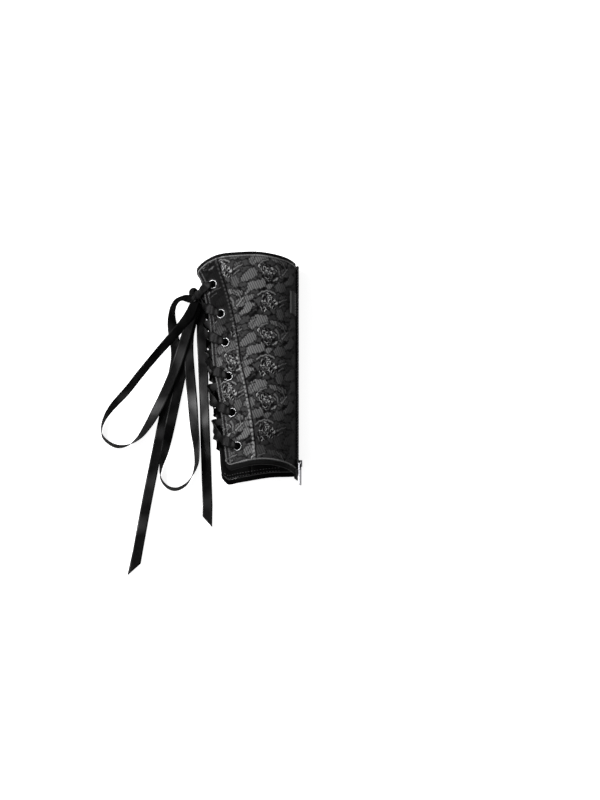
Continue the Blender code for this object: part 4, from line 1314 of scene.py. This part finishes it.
def roundedBlock(x, y, size):
    # four outlines of 16 points each
    bevel, (halfX, halfY, halfZ) = zipper["bevel"], (s / 2 for s in size)
    signs = ((1, 1), (-1, 1), (-1, -1), (1, -1))
    outline = []
    for k in range(16):
        turn = math.radians(30 * (k - k // 4))
        cornerX, cornerY = signs[k // 4][0] * (halfX - bevel), signs[k // 4][1] * (halfY - bevel)
        outline.append((cornerX + bevel * math.cos(turn), cornerY + bevel * math.sin(turn)))
    inset = 1 - min(bevel, halfZ) * 0.55 / max(halfX, halfY)
    low = 0.6 * bevel - halfZ
    return [
        (x + px * scale, y + py * scale, level)
        for level, scale in ((-halfZ, inset), (low, 1), (-low, 1), (halfZ, inset)) for px, py in outline
    ]


def zipPiece(name, points, faces, fromY, toY, out, material):
    front, back = Vector(wall["zipFront"]), Vector(wall["zipBack"])
    slope, middle, along = (back - front).normalized(), (front + back) / 2, Vector((0, 1, 0))
    outward = Vector((slope.x, 0, slope.y)).cross(along).normalized()
    matrix = placeMatrix(Vector((middle.x, (fromY + toY) / 2, middle.y)) + outward * out, along, outward)
    world = [matrix @ (Vector(p) * mm) for p in points]
    return meshObject(name, world, faces, (material,), np.array(points)[:, :2], inWorld=True)


tapeWide = (Vector(wall["zipBack"]) - Vector(wall["zipFront"])).length + 0.4
tapeEnds = zipper["tapeFrom"], zipper["tapeTo"]
tape = roundedBlock(0, 0, (tapeEnds[1] - tapeEnds[0], tapeWide, zipper["tapeThick"]))
finish(zipPiece("zipTape", tape, tubeFaces(4, 16), *tapeEnds, 0, "tape"), "tape", "zip_tape")

teeth, toothFaces = [], []
chainEnds = zipper["chainFrom"], zipper["chainTo"]
toothCount = int((chainEnds[1] - chainEnds[0]) / zipper["toothPitch"])
for k in range(toothCount):
    at = (k - toothCount / 2 + 0.5) * zipper["toothPitch"]
    toothFaces += tubeFaces(4, 16, len(teeth))
    teeth += roundedBlock(at, zipper["toothOffset"] * (1 if k % 2 else -1), zipper["toothSize"])
piece = zipPiece("zipTeeth", teeth, toothFaces, *chainEnds, zipper["chainOut"], "black")
finish(piece, "dark_metal", "zip_teeth")

for nodeName, materialName in (("zip_slider", "black"), ("zip_pull", "pull")):
    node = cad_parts[nodeName]
    node.data.materials.clear()
    node.data.materials.append(look[materialName])
    rounding = node.modifiers.new("worn edges", "BEVEL")
    rounding.width = 0.00022
    rounding.segments = 2
    rounding.limit_method = "ANGLE"
print("zip is made")


# label tab: plain woven cloth, folded at its edges

label = {"low": 47, "high": 70.5, "innerX": 40.6, "outerShare": 0.985, "wide": 6, "top": 1.2, "under": 0.55}


def labelInner(x, ys):
    return np.array([shareAt("front", x, y) for y in ys])


def labelObject():
    ys = np.linspace(label["low"], label["high"], 49)
    inner = labelInner(label["innerX"], ys)[:, None]
    p, y = np.meshgrid(np.linspace(0, 1, 19), ys)
    share = inner + (label["outerShare"] - inner) * p
    left, right = label["wide"] * p, label["wide"] * (1 - p)
    fromSide = np.minimum.reduce([left, y - label["low"], label["high"] - y])
    under = np.full(y.shape, wall["thickness"] / 2 + label["under"])
    outer = wall["thickness"] / 2 + label["top"] + 0.22 * bell(fromSide, 0.6, 0.45)
    dots = 0.5 + 0.5 * np.cos(math.tau * y / 2.6)
    masks = np.zeros(y.shape + (4,))
    masks[..., 1] = 0.8 * bell(left, 0.4, 0.5) + bell(right, 1, 0.4) * dots**3
    uv = np.stack([left, y], axis=-1)
    return shellObject("labelTab", "front", (share, y), (outer, under), uv, masks, ("label", "label"))


finish(labelObject(), "tape", "label_tab")
labelY = np.linspace(label["low"] + 0.8, label["high"] - 0.8, 60)
stitchRow("labelStitchInner", "front", labelInner(label["innerX"] + 0.5, labelY), labelY, 1.2)
stitchRow("labelStitchOuter", "front", np.full(60, label["outerShare"] - 0.008), labelY, 1.2)
print("label is made")
